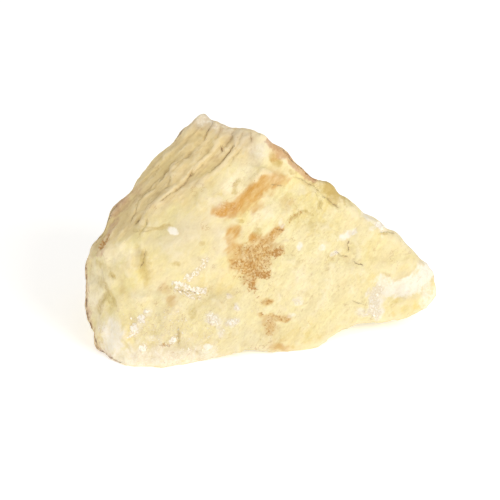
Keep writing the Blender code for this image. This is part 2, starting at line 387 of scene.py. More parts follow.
IRON = Zone(
    ZoneName.IRON,
    3.0,
    ovals(
        (-1.6, 31.6, 5.6, 3.2, 0.75, 5), (-4.2, 27.4, 4.8, 3.4, 0.8), (-2.4, 35.6, 1.8, 1.5, 0.5),
        (4.1, 32.0, 2.0, 2.2), (0.0, 28.2, 3.0, 2.4, 0.7), (1.1, 25.7, 2.1, 1.3), (-1.7, 25.2, 1.2, 1.2),
        (-3.2, 22.6, 1.7, 2.2), (-5.6, 24.6, 2.0, 1.2, 0.7, -30), (-4.9, 20.8, 1.0, 0.7, 0.5),
        (-1.4, 19.4, 0.7, 0.7, 0.6), (-7.6, 31.0, 1.8, 3.6, 0.35), (1.8, 17.6, 1.6, 0.8, 0.75, 10),
        (0.0, 14.4, 1.1, 0.6, 0.7), (2.5, 10.8, 2.5, 2.4, 0.52), (0.9, 11.0, 0.8, 1.3, 0.66),
        (2.5, 8.7, 1.4, 1.0, 0.66), (-2.2, 4.8, 1.4, 0.5, 0.7), (-27.8, 5.3, 1.8, 0.6, 0.8),
        (-26.0, 9.0, 14.0, 7.0, 0.24), (-9.0, 45.0, 2.8, 1.4, 0.48), (-12.0, 43.3, 1.8, 1.2, 0.48),
        (-1.9, 52.7, 0.6, 0.4, 0.9), (4.0, 57.6, 1.5, 1.1, 0.5),
    )
    + streaks(
        (HOOK, 0.5, 0.5),
        (BARB, 0.4, 0.4),
        (TAIL, 1.3, 0.6),
        (((2.2, 13.8), (4.2, 13.3), (7.3, 13.3)), 0.6, 0.62),
        (((-36.0, 1.8), (-28.0, 1.6), (-18.0, 2.6)), 1.8, 0.4),
        (((-25.0, 21.4), (-21.0, 20.2), (-17.0, 19.2)), 1.4, 0.4),
        (((8.2, 41.2), (9.6, 42.2), (11.0, 43.8)), 0.9, 0.6),
        (((5.6, 61.0), (9.6, 57.2), (12.4, 54.6), (14.9, 52.6)), 0.4, 0.8),
        (((-43.8, 36.8), (-46.4, 32.8)), 0.45, 1.0),
    ),
    wander=0.7,
    torn=0.28,
    scatter=Scatter(19.0, 0.76, 1.12, 0.9),
)
FILM = Zone(
    ZoneName.FILM,
    21.0,
    ovals(
        (30.0, 14.8, 3.6, 1.5, 0.6), (-32.0, 5.4, 6.5, 3.4, 0.28), (-42.8, 7.6, 3.2, 5.4, 0.68, 6),
        (33.8, 39.6, 1.8, 1.2, 1.0, -30), (31.5, 38.6, 1.0, 0.7, 0.6), (34.4, 36.3, 0.6, 1.1, 0.45),
        (-13.8, 12.6, 2.6, 1.6, 0.7, -20), (-11.8, 9.8, 1.0, 1.9, 0.55), (-8.3, 12.0, 2.5, 1.1, 0.7),
        (-7.4, 16.1, 1.1, 1.4, 0.8), (-9.2, 19.5, 1.1, 0.8, 0.55, -30), (8.4, 13.8, 1.1, 0.9, 0.45),
        (10.1, 17.8, 1.5, 1.2, 0.55), (5.5, 40.0, 0.8, 1.6, 0.45), (-16.6, 69.8, 3.2, 1.8, 0.4, -10),
        (-4.4, 65.4, 2.8, 1.1, 0.2, -15), (-1.5, 60.6, 2.6, 2.4, 0.3),
    )
    + streaks(
        (((32.6, 15.2), (32.2, 19.6), (34.4, 22.3)), 2.3, 0.85),
        (((34.4, 21.7), (40.0, 21.9), (44.4, 22.9), (47.0, 26.4)), 2.5, 0.9),
        (((46.6, 23.6), (47.8, 20.6), (46.6, 17.4)), 1.8, 0.55),
        (((-44.0, 3.6), (-38.0, 1.8), (-30.0, 1.4), (-20.0, 1.6), (-15.0, 3.2)), 2.6, 0.5),
        (((28.6, 43.2), (31.0, 41.4), (33.2, 39.8)), 0.8, 0.6),
        (((-32.6, 15.2), (-34.4, 12.4), (-36.8, 8.6)), 1.3, 0.4),
        (((-13.7, 68.4), (-10.2, 67.8), (-8.3, 66.4)), 1.3, 0.25),
    ),
    soft=0.24,
    scatter=Scatter(13.0, 0.7, 1.04, 0.5),
)
CRUST = Zone(
    ZoneName.CRUST,
    21.0,
    ovals(
        (30.0, 14.6, 3.2, 1.2, 0.45), (-20.8, 24.8, 1.9, 1.1, 0.7, 30), (-32.8, 15.1, 1.1, 0.8, 0.9),
        (-34.2, 12.8, 1.3, 1.6, 0.9), (-36.3, 10.2, 1.2, 1.7, 0.8), (-37.2, 8.2, 1.0, 0.8, 0.7),
        (-36.2, 12.4, 0.9, 0.7, 0.45), (-34.4, 4.9, 1.5, 1.0, 0.85), (-25.3, 6.8, 1.4, 1.1, 0.95),
        (-21.4, 5.2, 1.7, 0.8, 0.5, -30), (-20.0, 4.0, 1.7, 0.7, 0.6), (-15.3, 4.9, 1.3, 0.9, 0.9),
        (-30.4, 8.4, 0.9, 0.8, 0.4), (-13.8, 12.6, 2.3, 1.4, 0.7, -20), (-11.8, 9.6, 0.8, 1.4, 0.5),
        (-8.3, 12.0, 2.2, 1.0, 0.75), (-7.4, 16.1, 1.0, 1.1, 0.8), (-9.2, 19.5, 1.0, 0.7, 0.6, -30),
        (10.1, 17.8, 1.2, 0.8, 0.4), (33.8, 39.6, 1.6, 1.0, 0.9, -30), (-24.8, 11.2, 1.2, 0.5, 0.35),
        (-26.0, 9.0, 14.0, 7.0, 0.36), (-2.0, 16.0, 10.0, 6.0, 0.2),
    )
    + streaks(
        (((32.4, 15.0), (31.6, 18.4), (33.0, 21.6)), 1.7, 0.62),
        (((35.0, 22.6), (46.6, 25.6)), 2.0, 0.25),
        (((-25.4, 23.0), (-22.2, 22.5), (-19.8, 21.6), (-16.6, 20.8)), 0.85, 0.75),
        (((-24.6, 21.2), (-21.0, 19.8), (-17.5, 18.8)), 0.9, 0.6),
        (((-19.0, 26.0), (-17.0, 27.6), (-15.9, 29.8)), 1.0, 0.65),
        (((-36.0, 1.6), (-28.0, 1.4), (-18.0, 2.4)), 2.0, 0.36),
    ),
    wander=0.5,
    torn=0.3,
    scatter=Scatter(13.0, 0.68, 1.0, 0.8),
)
BRUISE = Zone(
    ZoneName.BRUISE,
    35.0,
    ovals(
        (-25.4, 38.1, 1.6, 1.1, 1.0, -15), (10.9, 33.7, 1.0, 1.1, 0.7), (17.2, 33.4, 1.0, 0.8, 0.55, 10),
        (20.8, 31.8, 1.3, 0.7, 0.75, 20), (24.4, 37.0, 2.7, 1.1, 0.8, 25), (-15.3, 4.9, 1.1, 0.8, 0.8),
    ),
    wander=0.3,
    torn=0.16,
    soft=0.2,
    scatter=Scatter(5.0, 0.86, 1.06, 0.5),
)
GOLD = Zone(
    ZoneName.GOLD,
    44.0,
    ovals(
        (35.5, 31.5, 9.0, 7.0, 0.28, -25), (40.6, 17.2, 5.4, 2.8), (45.0, 16.2, 2.6, 1.2, 0.6, 10),
        (13.0, 43.0, 8.0, 5.6, 0.72, -35), (10.4, 42.6, 4.4, 2.6, 1.0, 20), (14.0, 26.0, 15.0, 13.0, 0.22),
        (-13.4, 18.3, 6.0, 6.0, 0.6), (-13.0, 8.0, 6.0, 3.4, 0.6), (8.0, 8.0, 9.0, 3.6, 0.6),
        (-24.0, 14.0, 8.0, 5.0, 0.35), (-38.5, 9.0, 1.6, 3.4, 0.4), (-34.6, 40.6, 2.2, 1.7, 0.6, 30),
        (-33.2, 27.0, 2.2, 4.6, 0.5, 10), (29.0, 24.6, 4.0, 2.2, 0.45, -15), (23.0, 30.4, 3.0, 2.0, 0.45),
        (-16.5, 46.6, 6.5, 4.0, 0.35, 30),
    )
    + streaks(
        (((49.2, 26.0), (49.8, 21.0), (49.0, 17.0)), 1.6, 0.2),
    ),
    wander=1.4,
    soft=0.3,
    scatter=Scatter(20.0, 0.1, 0.8, 0.6),
)
CREAM = Zone(
    ZoneName.CREAM,
    58.0,
    ovals(
        (-42.7, 8.4, 3.2, 5.4, 1.0, 6), (-30.0, 2.6, 10.0, 2.6, 0.5), (-16.2, 69.4, 4.0, 2.4, 0.6),
        (-13.4, 46.6, 2.0, 1.2, 0.5), (-12.0, 36.0, 3.4, 6.0, 0.25), (-1.6, 43.6, 2.6, 2.4, 0.5, 30),
        (-25.0, 34.6, 7.0, 2.6, 0.25), (-40.8, 32.0, 5.0, 2.6, 0.55, 12), (-45.2, 23.6, 1.2, 2.2, 0.4),
        (-48.0, 19.0, 2.2, 9.0, 0.6), (2.0, 44.4, 2.4, 3.4, 0.4, 10), (11.4, 24.2, 2.0, 4.4, 0.55),
        (14.2, 30.2, 2.4, 1.2, 0.4), (10.6, 49.8, 2.6, 1.4, 0.45), (-22.6, 54.2, 2.8, 1.6, 0.5, 45),
        (-15.8, 57.4, 1.6, 1.0, 0.4, 45), (2.6, 15.6, 4.0, 1.0, 0.35),
    )
    + streaks(
        (((-14.3, 68.0), (-7.7, 66.2), (0.0, 64.4)), 1.8, 0.35),
        (((-2.6, 64.0), (-0.8, 60.8), (-2.4, 57.4), (-6.0, 54.4), (-9.6, 51.0)), 2.0, 0.55),
    ),
    wander=1.2,
    soft=0.3,
    scatter=Scatter(18.0, 0.2, 0.8, 0.6),
)
ROSE = Zone(
    ZoneName.ROSE,
    63.0,
    ovals(
        (-9.8, 44.2, 3.4, 1.8, 0.7, 10), (-40.2, 45.5, 3.4, 1.6, 0.62, 50),
        (-36.0, 49.6, 2.6, 1.1, 0.3, 50), (4.6, 60.4, 2.6, 1.3, 0.6, -40),
    )
    + streaks(
        (((-46.6, 31.6), (-44.4, 36.0), (-41.6, 42.0)), 0.9, 0.45),
        (
            (
                (1.8, 63.6), (4.0, 61.8), (6.3, 60.2), (8.6, 57.6), (10.9, 55.5), (13.1, 53.5),
                (14.6, 52.6),
            ),
            1.0, 0.82,
        ),
        # Painted shade: this streak follows the left and lower-left outline, where the surface turns away.
        (((-51.6, 27.0), (-51.4, 19.6), (-51.0, 14.0), (-49.4, 8.6), (-47.8, 3.8), (-43.4, 0.4)), 1.7, 0.6),
    ),
    soft=0.22,
    scatter=Scatter(14.0, 0.72, 1.05, 0.4),
)
OLIVE = Zone(
    ZoneName.OLIVE,
    71.0,
    ovals(
        (20.2, 50.6, 5.2, 2.8, 1.0, -40), (4.1, 57.9, 1.8, 1.1, 0.75, -30), (3.0, 59.2, 1.3, 1.6, 0.35),
        (8.6, 55.0, 1.5, 0.8, 0.45, -20), (16.5, 45.6, 0.7, 1.5, 0.4), (20.0, 46.3, 2.6, 0.9, 0.45, -40),
        (-33.9, 30.2, 1.0, 2.4, 0.5, 8), (-33.4, 27.0, 1.8, 4.0, 0.3), (-43.0, 25.2, 1.0, 1.0, 0.5),
        (-45.4, 28.0, 2.6, 1.1, 0.25, -30), (-23.8, 8.0, 0.6, 2.4, 0.45), (-17.6, 34.8, 1.1, 1.0, 0.3),
        (-24.6, 28.6, 1.3, 0.8, 0.3), (22.8, 31.0, 1.6, 0.5, 0.3, -15), (34.8, 37.2, 0.9, 0.6, 0.5),
        (-6.4, 40.8, 1.3, 0.6, 0.35), (-1.6, 37.6, 1.6, 1.6, 0.35), (-19.4, 14.4, 1.4, 2.4, 0.3),
        (35.6, 25.4, 1.4, 0.7, 0.3, -30),
    )
    + streaks(
        (HOOK, 0.45, 0.5),
        (BARB, 0.35, 0.45),
        (((-36.4, 38.2), (-32.0, 38.7), (-29.0, 39.2), (-26.4, 39.9)), 0.8, 0.3),
        (((-46.0, 24.0), (-44.4, 20.6), (-46.6, 15.4)), 1.1, 0.35),
        (((-44.4, 20.6), (-42.2, 17.0)), 1.0, 0.35),
        (((-6.6, 52.4), (-7.8, 51.0), (-8.0, 49.0)), 0.7, 0.4),
    ),
    soft=0.26,
    scatter=Scatter(12.0, 0.72, 1.05, 0.35),
)
PLATE = Zone(
    ZoneName.PLATE,
    77.0,
    ovals(
        (36.0, 31.4, 9.0, 6.4, 1.0, -25), (40.6, 17.0, 5.0, 2.5),
    ),
)
FLECK = Zone(
    ZoneName.FLECK,
    83.0,
    ovals(
        (14.0, 26.0, 18.0, 18.0), (-10.0, 12.0, 26.0, 9.0, 0.9), (30.0, 18.0, 11.0, 6.0, 0.8),
        (10.0, 44.0, 9.0, 7.0, 0.8), (-4.0, 58.0, 5.0, 7.0, 0.6, -30), (36.0, 31.4, 9.0, 6.4, 0.35, -25),
    ),
    wander=1.6,
    soft=0.35,
    scatter=Scatter(16.0, 0.2, 0.6, 0.9),
)
# Painted shade: a grey tone that darkens parts of the show face, most on the upper left, the ridge and the
# apex; out of sight it lays faint grey patches.
SHADE_AND_DUST = Zone(
    ZoneName.SHADE_AND_DUST,
    91.0,
    ovals(
        (-16.8, 69.6, 4.4, 2.6, 0.4), (-21.0, 36.5, 12.0, 8.0, 0.33, 15), (-16.4, 48.0, 7.0, 4.0, 0.2, 35),
        (-27.0, 3.0, 13.0, 2.8, 0.26), (-13.0, 18.5, 6.0, 5.0, 0.18), (-4.0, 7.0, 12.0, 3.6, 0.16),
        (43.6, 23.6, 5.6, 3.6, 0.4, 15), (47.0, 26.6, 3.0, 3.0, 0.6),
    )
    + streaks(
        (((-12.0, 67.4), (-3.4, 64.6), (-2.6, 60.6)), 2.6, 0.34),
    ),
    wander=1.2,
    soft=0.4,
    scatter=Scatter(18.0, 0.3, 0.9, 0.1),
)
ZONES: tuple[Zone, ...] = (WASH, IRON, FILM, CRUST, BRUISE, GOLD, CREAM, ROSE, OLIVE, PLATE, FLECK, SHADE_AND_DUST)


# ---------------------------------------------------------------- relief
@dataclass(frozen=True)
class Crack:
    """A crack, a fold or a sheet's edge on the show face, in mm, or a line of painted shade along the
    outline. Its left side stands higher by the lip.
    """

    route: Route
    half_width: float
    depth: float
    lip: float
    stain_and_shade: float
    lip_reach: float = 2.2
    dark_reach: Span = (1.1, 0.35)

    def relief(self, distance: np.ndarray, side: np.ndarray) -> np.ndarray:
        """The crack's relief.

        Args:
            distance: How far each point is from its route.
            side: 1 on the left of the route, -1 on its right.

        Returns:
            The height of each point, below 0 inside the crack.
        """
        cut = -self.depth * np.exp(-((distance / self.half_width) ** 2))
        raised = smoothstep(0.0, self.half_width, distance) * np.exp(-distance / self.lip_reach)
        return cut + self.lip * side * raised

    def darkness(self, distance: np.ndarray) -> np.ndarray:
        """How dark the line is: grime and painted shade in a crack, painted shade alone along the outline.
        It fades within a millimetre of its route.
        """
        return self.stain_and_shade * smoothstep(*self.dark_reach, distance)


def cracked(*rows: tuple[Route, float, float, float, float]) -> tuple[Crack, ...]:
    """A crack from each row of a route, a half width, a depth, a lip and how dark its line of grime and
    painted shade is.
    """
    return tuple(Crack(*row) for row in rows)


CRACKS = cracked(
    (((-14.3, 68.8), (-15.4, 67.4), (-15.9, 66.0), (-16.6, 64.4)), 0.5, 0.4, 0.15, 0.6),
    (((-8.0, 66.6), (-9.2, 64.4), (-10.4, 62.6)), 0.6, 0.42, 0.12, 0.4),
    (((-11.6, 67.6), (-12.4, 66.2), (-12.9, 64.8)), 0.6, 0.26, 0.1, 0.2),
    (((-5.6, 65.8), (-6.4, 63.8), (-7.6, 61.6)), 0.6, 0.24, 0.1, 0.2),
    (((-3.3, 66.0), (-2.9, 64.0)), 0.5, 0.3, 0.1, 0.4),
    (((-8.4, 62.5), (-9.2, 61.0), (-10.2, 59.8), (-11.4, 58.3)), 0.35, 0.45, 0.15, 1.0),
    (((-11.4, 58.3), (-12.6, 57.2), (-13.6, 56.0), (-15.0, 54.8)), 0.5, 0.25, 0.1, 0.45),
    (((-11.6, 62.0), (-11.6, 60.8)), 0.35, 0.3, 0.0, 0.7),
    (((-15.5, 60.6), (-18.0, 58.2), (-19.8, 56.4), (-20.2, 54.4)), 0.8, 0.2, 0.1, 0.22),
    (((-20.2, 54.4), (-21.4, 52.6), (-23.7, 50.2), (-26.0, 48.7), (-28.6, 47.0)), 0.5, 0.28, 0.12, 0.6),
    (((-20.4, 60.2), (-22.0, 58.8), (-25.5, 57.0), (-27.3, 55.2)), 0.8, 0.2, 0.1, 0.3),
    (
        (
            (-27.3, 55.2), (-28.8, 53.4), (-30.5, 51.0), (-33.6, 48.6), (-35.5, 46.8), (-36.5, 43.2),
            (-37.6, 40.6),
        ),
        0.6, 0.25, 0.1, 0.45,
    ),
    (((-26.5, 53.0), (-27.0, 51.0), (-28.5, 49.6), (-30.0, 48.0), (-33.5, 44.6)), 0.6, 0.25, 0.12, 0.4),
    (((-30.8, 50.6), (-32.6, 49.8), (-34.4, 48.0)), 0.6, 0.16, 0.08, 0.3),
    (((-6.0, 61.2), (-8.0, 59.0), (-9.4, 56.6)), 0.6, 0.2, 0.08, 0.25),
    (((-16.8, 57.0), (-18.4, 55.6), (-19.8, 54.2)), 0.6, 0.18, 0.08, 0.25),
    (((-32.9, 40.9), (-34.3, 38.0)), 0.35, 0.35, 0.1, 0.7),
    (((-34.6, 41.8), (-36.0, 40.2)), 0.35, 0.35, 0.1, 0.6),
    (((-36.6, 37.9), (-34.0, 37.6), (-29.4, 38.9), (-26.9, 39.7)), 0.7, 0.06, 0.04, 0.2),
    (((-43.8, 36.8), (-44.9, 35.2), (-46.0, 33.1)), 0.4, 0.9, 0.3, 1.0),
    (((24.9, 35.1), (24.4, 34.2), (24.9, 33.2), (24.8, 32.6)), 0.3, 0.03, 0.0, 1.0),
    (((28.0, 39.6), (26.4, 38.2), (24.9, 35.1)), 0.5, 0.02, 0.02, 0.12),
    (((21.4, 31.6), (22.5, 31.0), (23.2, 31.0), (24.0, 30.6)), 0.3, 0.02, 0.0, 0.8),
    (((26.7, 28.9), (27.6, 28.4), (28.4, 28.2)), 0.3, 0.02, 0.0, 1.0),
    (((-33.6, 32.2), (-33.9, 30.4), (-34.4, 28.4)), 0.6, 0.2, 0.05, 0.6),
    (((-34.4, 28.4), (-33.2, 25.4), (-32.2, 22.4)), 1.2, 0.15, 0.05, 0.0),
    (((-46.2, 27.0), (-45.7, 24.0), (-44.4, 20.6), (-42.2, 17.0)), 1.0, 0.28, 0.08, 0.2),
    (((-44.4, 20.6), (-46.1, 17.4), (-47.1, 13.0)), 1.0, 0.28, 0.08, 0.2),
    (((-43.1, 25.4), (-42.9, 24.9)), 0.5, 0.3, 0.0, 0.6),
    (((9.6, 53.4), (12.4, 52.4), (15.1, 50.6), (17.4, 48.0)), 0.4, 0.2, 0.1, 0.45),
    (((17.4, 48.0), (19.6, 46.4), (21.7, 44.9)), 0.4, 0.12, 0.04, 0.45),
    (((15.4, 48.4), (16.4, 46.4), (16.8, 44.6)), 0.5, 0.2, 0.1, 0.4),
    (((-7.0, 52.6), (-8.0, 50.8), (-8.1, 48.8)), 0.8, 0.12, 0.06, 0.0),
    (((3.2, 51.2), (5.6, 50.9)), 0.35, 0.1, 0.05, 0.4),
    (((4.6, 38.4), (5.8, 38.3)), 0.35, 0.1, 0.05, 0.6),
    (((26.5, 17.9), (28.4, 17.4)), 0.35, 0.15, 0.05, 0.5),
    (((34.0, 37.6), (36.4, 37.9), (37.6, 37.6)), 0.4, 0.15, 0.05, 0.4),
    (((-24.0, 21.0), (-21.0, 20.9), (-19.0, 20.4)), 0.35, 0.2, 0.1, 0.6),
    (((-23.8, 10.0), (-23.9, 7.4), (-23.6, 5.4)), 0.5, 0.12, 0.05, 0.3),
    (((-28.8, 5.4), (-27.0, 5.2)), 0.35, 0.15, 0.0, 0.6),
    # The last five follow the outline with almost no relief: their dark lines are painted shade where the
    # surface turns away.
    (
        (
            (-49.9, 30.3), (-50.4, 28.0), (-50.4, 19.6), (-50.1, 14.9), (-48.5, 9.7), (-47.6, 6.4),
            (-47.1, 4.6),
        ),
        0.4, 0.05, 0.0, 1.0,
    ),
    (((-47.1, 4.6), (-44.9, 3.0), (-42.4, 1.3), (-40.4, 0.5)), 0.4, 0.05, 0.0, 1.0),
    (
        (
            (-48.7, 33.7), (-45.6, 37.1), (-44.2, 40.6), (-42.9, 44.0), (-39.6, 47.4), (-37.5, 49.1),
        ),
        0.4, 0.05, 0.0, 0.8,
    ),
    (((-25.6, 63.4), (-23.6, 65.6), (-22.0, 67.6)), 0.4, 0.05, 0.0, 0.9),
    (((6.2, 61.0), (8.5, 58.4), (10.8, 56.1), (13.0, 54.1), (15.2, 52.6)), 0.4, 0.05, 0.0, 0.9),
)

# Where the split slope meets the show face, on the drawing.
BROW: Route = (
    (4.0, 68.0), (-4.0, 61.0), (-14.0, 52.0), (-24.0, 45.0), (-34.0, 39.0), (-44.0, 33.0), (-56.0, 27.0),
)


@dataclass
class Surface:
    """The lump's surface while it is worked: its points, normals and where they are on the drawing."""

    mesh: bpy.types.Mesh
    shown_facing: Span = (-0.3, -0.05)
    lying_normals: Span = (-0.7, -0.95)
    lying_heights: Span = (0.8, 0.2)
    points: np.ndarray = field(init=False)
    normals: np.ndarray = field(init=False)

    def __post_init__(self) -> None:
        """Reads the mesh."""
        self.read()

    def read(self) -> None:
        """Reads the points, in mm, and the normals."""
        count = len(self.mesh.vertices)
        self.points = np.empty(count * 3)
        self.normals = np.empty(count * 3)
        self.mesh.vertices.foreach_get("co", self.points)
        self.mesh.vertices.foreach_get("normal", self.normals)
        self.points = self.points.reshape(-1, 3) / MM
        self.normals = self.normals.reshape(-1, 3)

    @property
    def places(self) -> np.ndarray:
        """Where the points are on the drawing."""
        return DRAWING.places(self.points)

    @property
    def facing(self) -> np.ndarray:
        """How squarely each point faces the eye of the drawing."""
        return DRAWING.facing(self.points, self.normals)

    @property
    def shown(self) -> np.ndarray:
        """How far each point belongs to the show face."""
        return smoothstep(*self.shown_facing, self.facing)

    def raise_by(self, relief: np.ndarray) -> None:
        """Moves each point along its normal, but not the side that the lump lies on.

        Args:
            relief: How far, in mm.
        """
        downward = smoothstep(*self.lying_normals, self.normals[:, 2])
        lying = downward * smoothstep(*self.lying_heights, self.points[:, 2])
        self.points += self.normals * (relief * (1.0 - lying))[:, None]
        self.points[:, 2] = np.maximum(self.points[:, 2], 0.0)
        self.mesh.vertices.foreach_set("co", (self.points * MM).ravel())
        self.mesh.update()
        self.read()

    def store(self, name: ZoneName, values: np.ndarray) -> None:
        """Keeps one number for each point in the mesh, for the materials to read."""
        attribute = self.mesh.attributes.new(name.value, "FLOAT", "POINT")
        attribute.data.foreach_set("value", values.astype(np.float32))

    def hollowness(self, passes: int) -> np.ndarray:
        """How deep each point lies below its neighbourhood's mean, in mm; below 0 on a crest.

        Args:
            passes: How wide the neighbourhood is, in steps along the mesh's edges.

        Returns:
            One number for each point.
        """
        edges = np.empty(len(self.mesh.edges) * 2, dtype=np.int64)
        self.mesh.edges.foreach_get("vertices", edges)
        near, far = edges.reshape(-1, 2).T
        ends, others = np.concatenate((near, far)), np.concatenate((far, near))
        count = np.bincount(ends, minlength=len(self.points))
        mean = self.points
        for _ in range(passes):
            total = [np.bincount(ends, mean[others, axis], len(mean)) for axis in range(3)]
            mean = np.column_stack(total) / count[:, None]
        return np.einsum("ij,ij->i", mean - self.points, self.normals)


# ---------------------------------------------------------------- shader wiring
@dataclass
class Wiring:
    """Adds nodes to a node tree and joins them."""

    tree: bpy.types.NodeTree

    def feed(self, socket: Socket, value: object) -> None:
        """Gives an input its value.

        Args:
            socket: The input.
            value: A socket to join to it, or what it should hold.
        """
        if isinstance(value, bpy.types.NodeSocket):
            self.tree.links.new(value, socket)
        else:
            socket.default_value = value

    def node(self, kind: str, inputs: Inputs | None = None, **settings: object) -> bpy.types.Node:
        """Adds a node.

        Args:
            kind: The node's type.
            inputs: What its inputs get, by their names or numbers.
            **settings: Properties of the node.

        Returns:
            The node.
        """
        node = self.tree.nodes.new(kind)
        for name, value in settings.items():
            setattr(node, name, value)
        for name, value in (inputs or {}).items():
            self.feed(node.inputs[name], value)
        return node

    def attribute(self, name: ZoneName) -> Socket:
        """The number that the mesh keeps for a zone."""
        return self.node("ShaderNodeAttribute", attribute_name=name.value).outputs["Fac"]

    def noise(
        self, coordinates: Socket, scale: Number, detail: float, rough: float = 0.55, bend: float = 0.0
    ) -> Socket:
        """Noise.

        Args:
            coordinates: Where it is looked up.
            scale: Features in a metre.
            detail: Its finer layers.
            rough: How strong they are.
            bend: How far they are bent.

        Returns:
            A number from 0 to 1.
        """
        inputs = {"Vector": coordinates, "Scale": scale, "Detail": detail}
        inputs |= {"Roughness": rough, "Distortion": bend}
        return self.node("ShaderNodeTexNoise", inputs).outputs["Fac"]

    def maths(self, operation: str, first: Number, second: Number = 0.0) -> Socket:
        """What an operation makes of two numbers."""
        return self.node("ShaderNodeMath", {0: first, 1: second}, operation=operation).outputs["Value"]

    def times(self, first: Number, second: Number) -> Socket:
        """Two numbers multiplied."""
        return self.maths("MULTIPLY", first, second)

    def plus(self, first: Number, second: Number) -> Socket:
        """Two numbers added."""
        return self.maths("ADD", first, second)

    def minus(self, first: Number, second: Number) -> Socket:
        """The first number less the second."""
        return self.maths("SUBTRACT", first, second)

    def near(self, value: Socket, middle: float, width: float) -> Socket:
        """1 where value is the middle number, 0 where it is further from it than width."""
        return self.climb(self.maths("ABSOLUTE", self.minus(value, middle)), width, 0.0)

    def climb(self, value: Socket, low: float, high: float, start: float = 0.0, end: float = 1.0) -> Socket:
        """A smooth climb from start, where value is low, to end, where it is high."""
        inputs = {"Value": value, "From Min": low, "From Max": high, "To Min": start, "To Max": end}
        return self.node("ShaderNodeMapRange", inputs, interpolation_type="SMOOTHSTEP").outputs["Result"]

    def blend(self, share: Number, first: Socket | Colour, second: Socket | Colour) -> Socket:
        """The first colour with a share of the second in it."""
        return self.node("ShaderNodeMix", {0: share, 6: first, 7: second}, data_type="RGBA").outputs[2]


def socket(tree: bpy.types.NodeTree, name: str, way: str, kind: str, value: object = None) -> None:
    """Adds a named socket to a node group.

    Args:
        tree: The group.
        name: The socket's name.
        way: INPUT or OUTPUT.
        kind: The socket's type.
        value: What it holds when nothing is joined to it.
    """
    made = tree.interface.new_socket(name=name, in_out=way, socket_type=kind)
    if value is not None:
        made.default_value = value


def ragged_group() -> bpy.types.NodeTree:
    """A group that turns a soft mask into crumbs, which cover more where the mask is stronger.

    Returns:
        The group.
    """
    tree = bpy.data.node_groups.new("ragged mask", "ShaderNodeTree")
    socket(tree, "Coordinates", "INPUT", "NodeSocketVector")
    for name, value in (("Mask", 0.0), ("Scale", 1000.0), ("Cover", 0.7), ("Softness", 0.08)):
        socket(tree, name, "INPUT", "NodeSocketFloat", value)
    socket(tree, "Mask", "OUTPUT", "NodeSocketFloat")
    wiring = Wiring(tree)
    given = wiring.node("NodeGroupInput").outputs
    grain = wiring.noise(given["Coordinates"], given["Scale"], 6.0, 0.72)
    gained = wiring.times(wiring.times(given["Mask"], given["Cover"]), 0.5)
    above = wiring.minus(wiring.plus(grain, gained), 0.72)
    mask = wiring.climb(wiring.maths("DIVIDE", above, given["Softness"]), -1.0, 1.0)
    present = wiring.climb(given["Mask"], 0.03, 0.3)
    wiring.node("NodeGroupOutput", {"Mask": wiring.times(mask, present)})
    return tree


def mottle_group() -> bpy.types.NodeTree:
    """A group of the calcite's own tone: broad clouds, small flecks and fine grain, each a mask.

    Returns:
        The group.
    """
    tree = bpy.data.node_groups.new("calcite mottle", "ShaderNodeTree")
    socket(tree, "Coordinates", "INPUT", "NodeSocketVector")
    masks = (
        ("Cloud", 110.0, 3.0, 0.36, 0.66),
        ("Fleck", 620.0, 5.0, 0.42, 0.68),
        ("Grain", 2600.0, 3.0, 0.3, 0.7),
    )
    for name, scale, *_ in masks:
        socket(tree, f"{name} scale", "INPUT", "NodeSocketFloat", scale)
        socket(tree, name, "OUTPUT", "NodeSocketFloat")
    wiring = Wiring(tree)
    given = wiring.node("NodeGroupInput").outputs
    result = wiring.node("NodeGroupOutput")
    for name, _, detail, low, high in masks:
        texture = wiring.noise(given["Coordinates"], given[f"{name} scale"], detail, 0.62, 0.3)
        wiring.feed(result.inputs[name], wiring.climb(texture, low, high))
    return tree


def new_material(name: str, values: Inputs) -> tuple[bpy.types.Material, Wiring, bpy.types.NodeInputs]:
    """Makes a material.

    Args:
        name: Its name.
        values: What its shader has all over.

    Returns:
        The material, the wiring of its tree, and its shader's inputs.
    """
    material = bpy.data.materials.new(name)
    material.use_nodes = True
    inputs = material.node_tree.nodes["Principled BSDF"].inputs
    for socket_name, value in values.items():
        inputs[socket_name].default_value = value
    return material, Wiring(material.node_tree), inputs


@dataclass(frozen=True)
class Palette:
    """The lump's colours."""

    pale: Colour = srgb(238, 224, 179)
    yellow: Colour = srgb(236, 220, 157)
    lemon: Colour = srgb(239, 225, 153)
    peach: Colour = srgb(236, 214, 166)
    bright: Colour = srgb(254, 243, 196)
    gold: Colour = srgb(230, 205, 118)
    cream: Colour = srgb(248, 236, 207)
    straw: Colour = srgb(226, 198, 140)
    iron: Colour = srgb(204, 150, 65)
    rust: Colour = srgb(166, 106, 42)
    rose: Colour = srgb(200, 157, 122)
    olive: Colour = srgb(190, 158, 72)
    crust: Colour = srgb(252, 245, 232)
    # Tan for the fine grain, and for painted shade in hollows and between the sheets.
    shade: Colour = srgb(172, 134, 80)
    umber: Colour = srgb(200, 167, 100)
    # The dark of the cracks' lines: grime and painted shade.
    crack_dirt_and_shade: Colour = srgb(86, 54, 28)
    # The grey of the painted shade, and of faint patches out of sight.
    shade_and_dust: Colour = srgb(196, 182, 164)


@dataclass(frozen=True)
class Crumbs:
    """How a zone's mark breaks up into crumbs."""

    zone: ZoneName
    scale: float
    cover: float
    softness: float
    strength: float


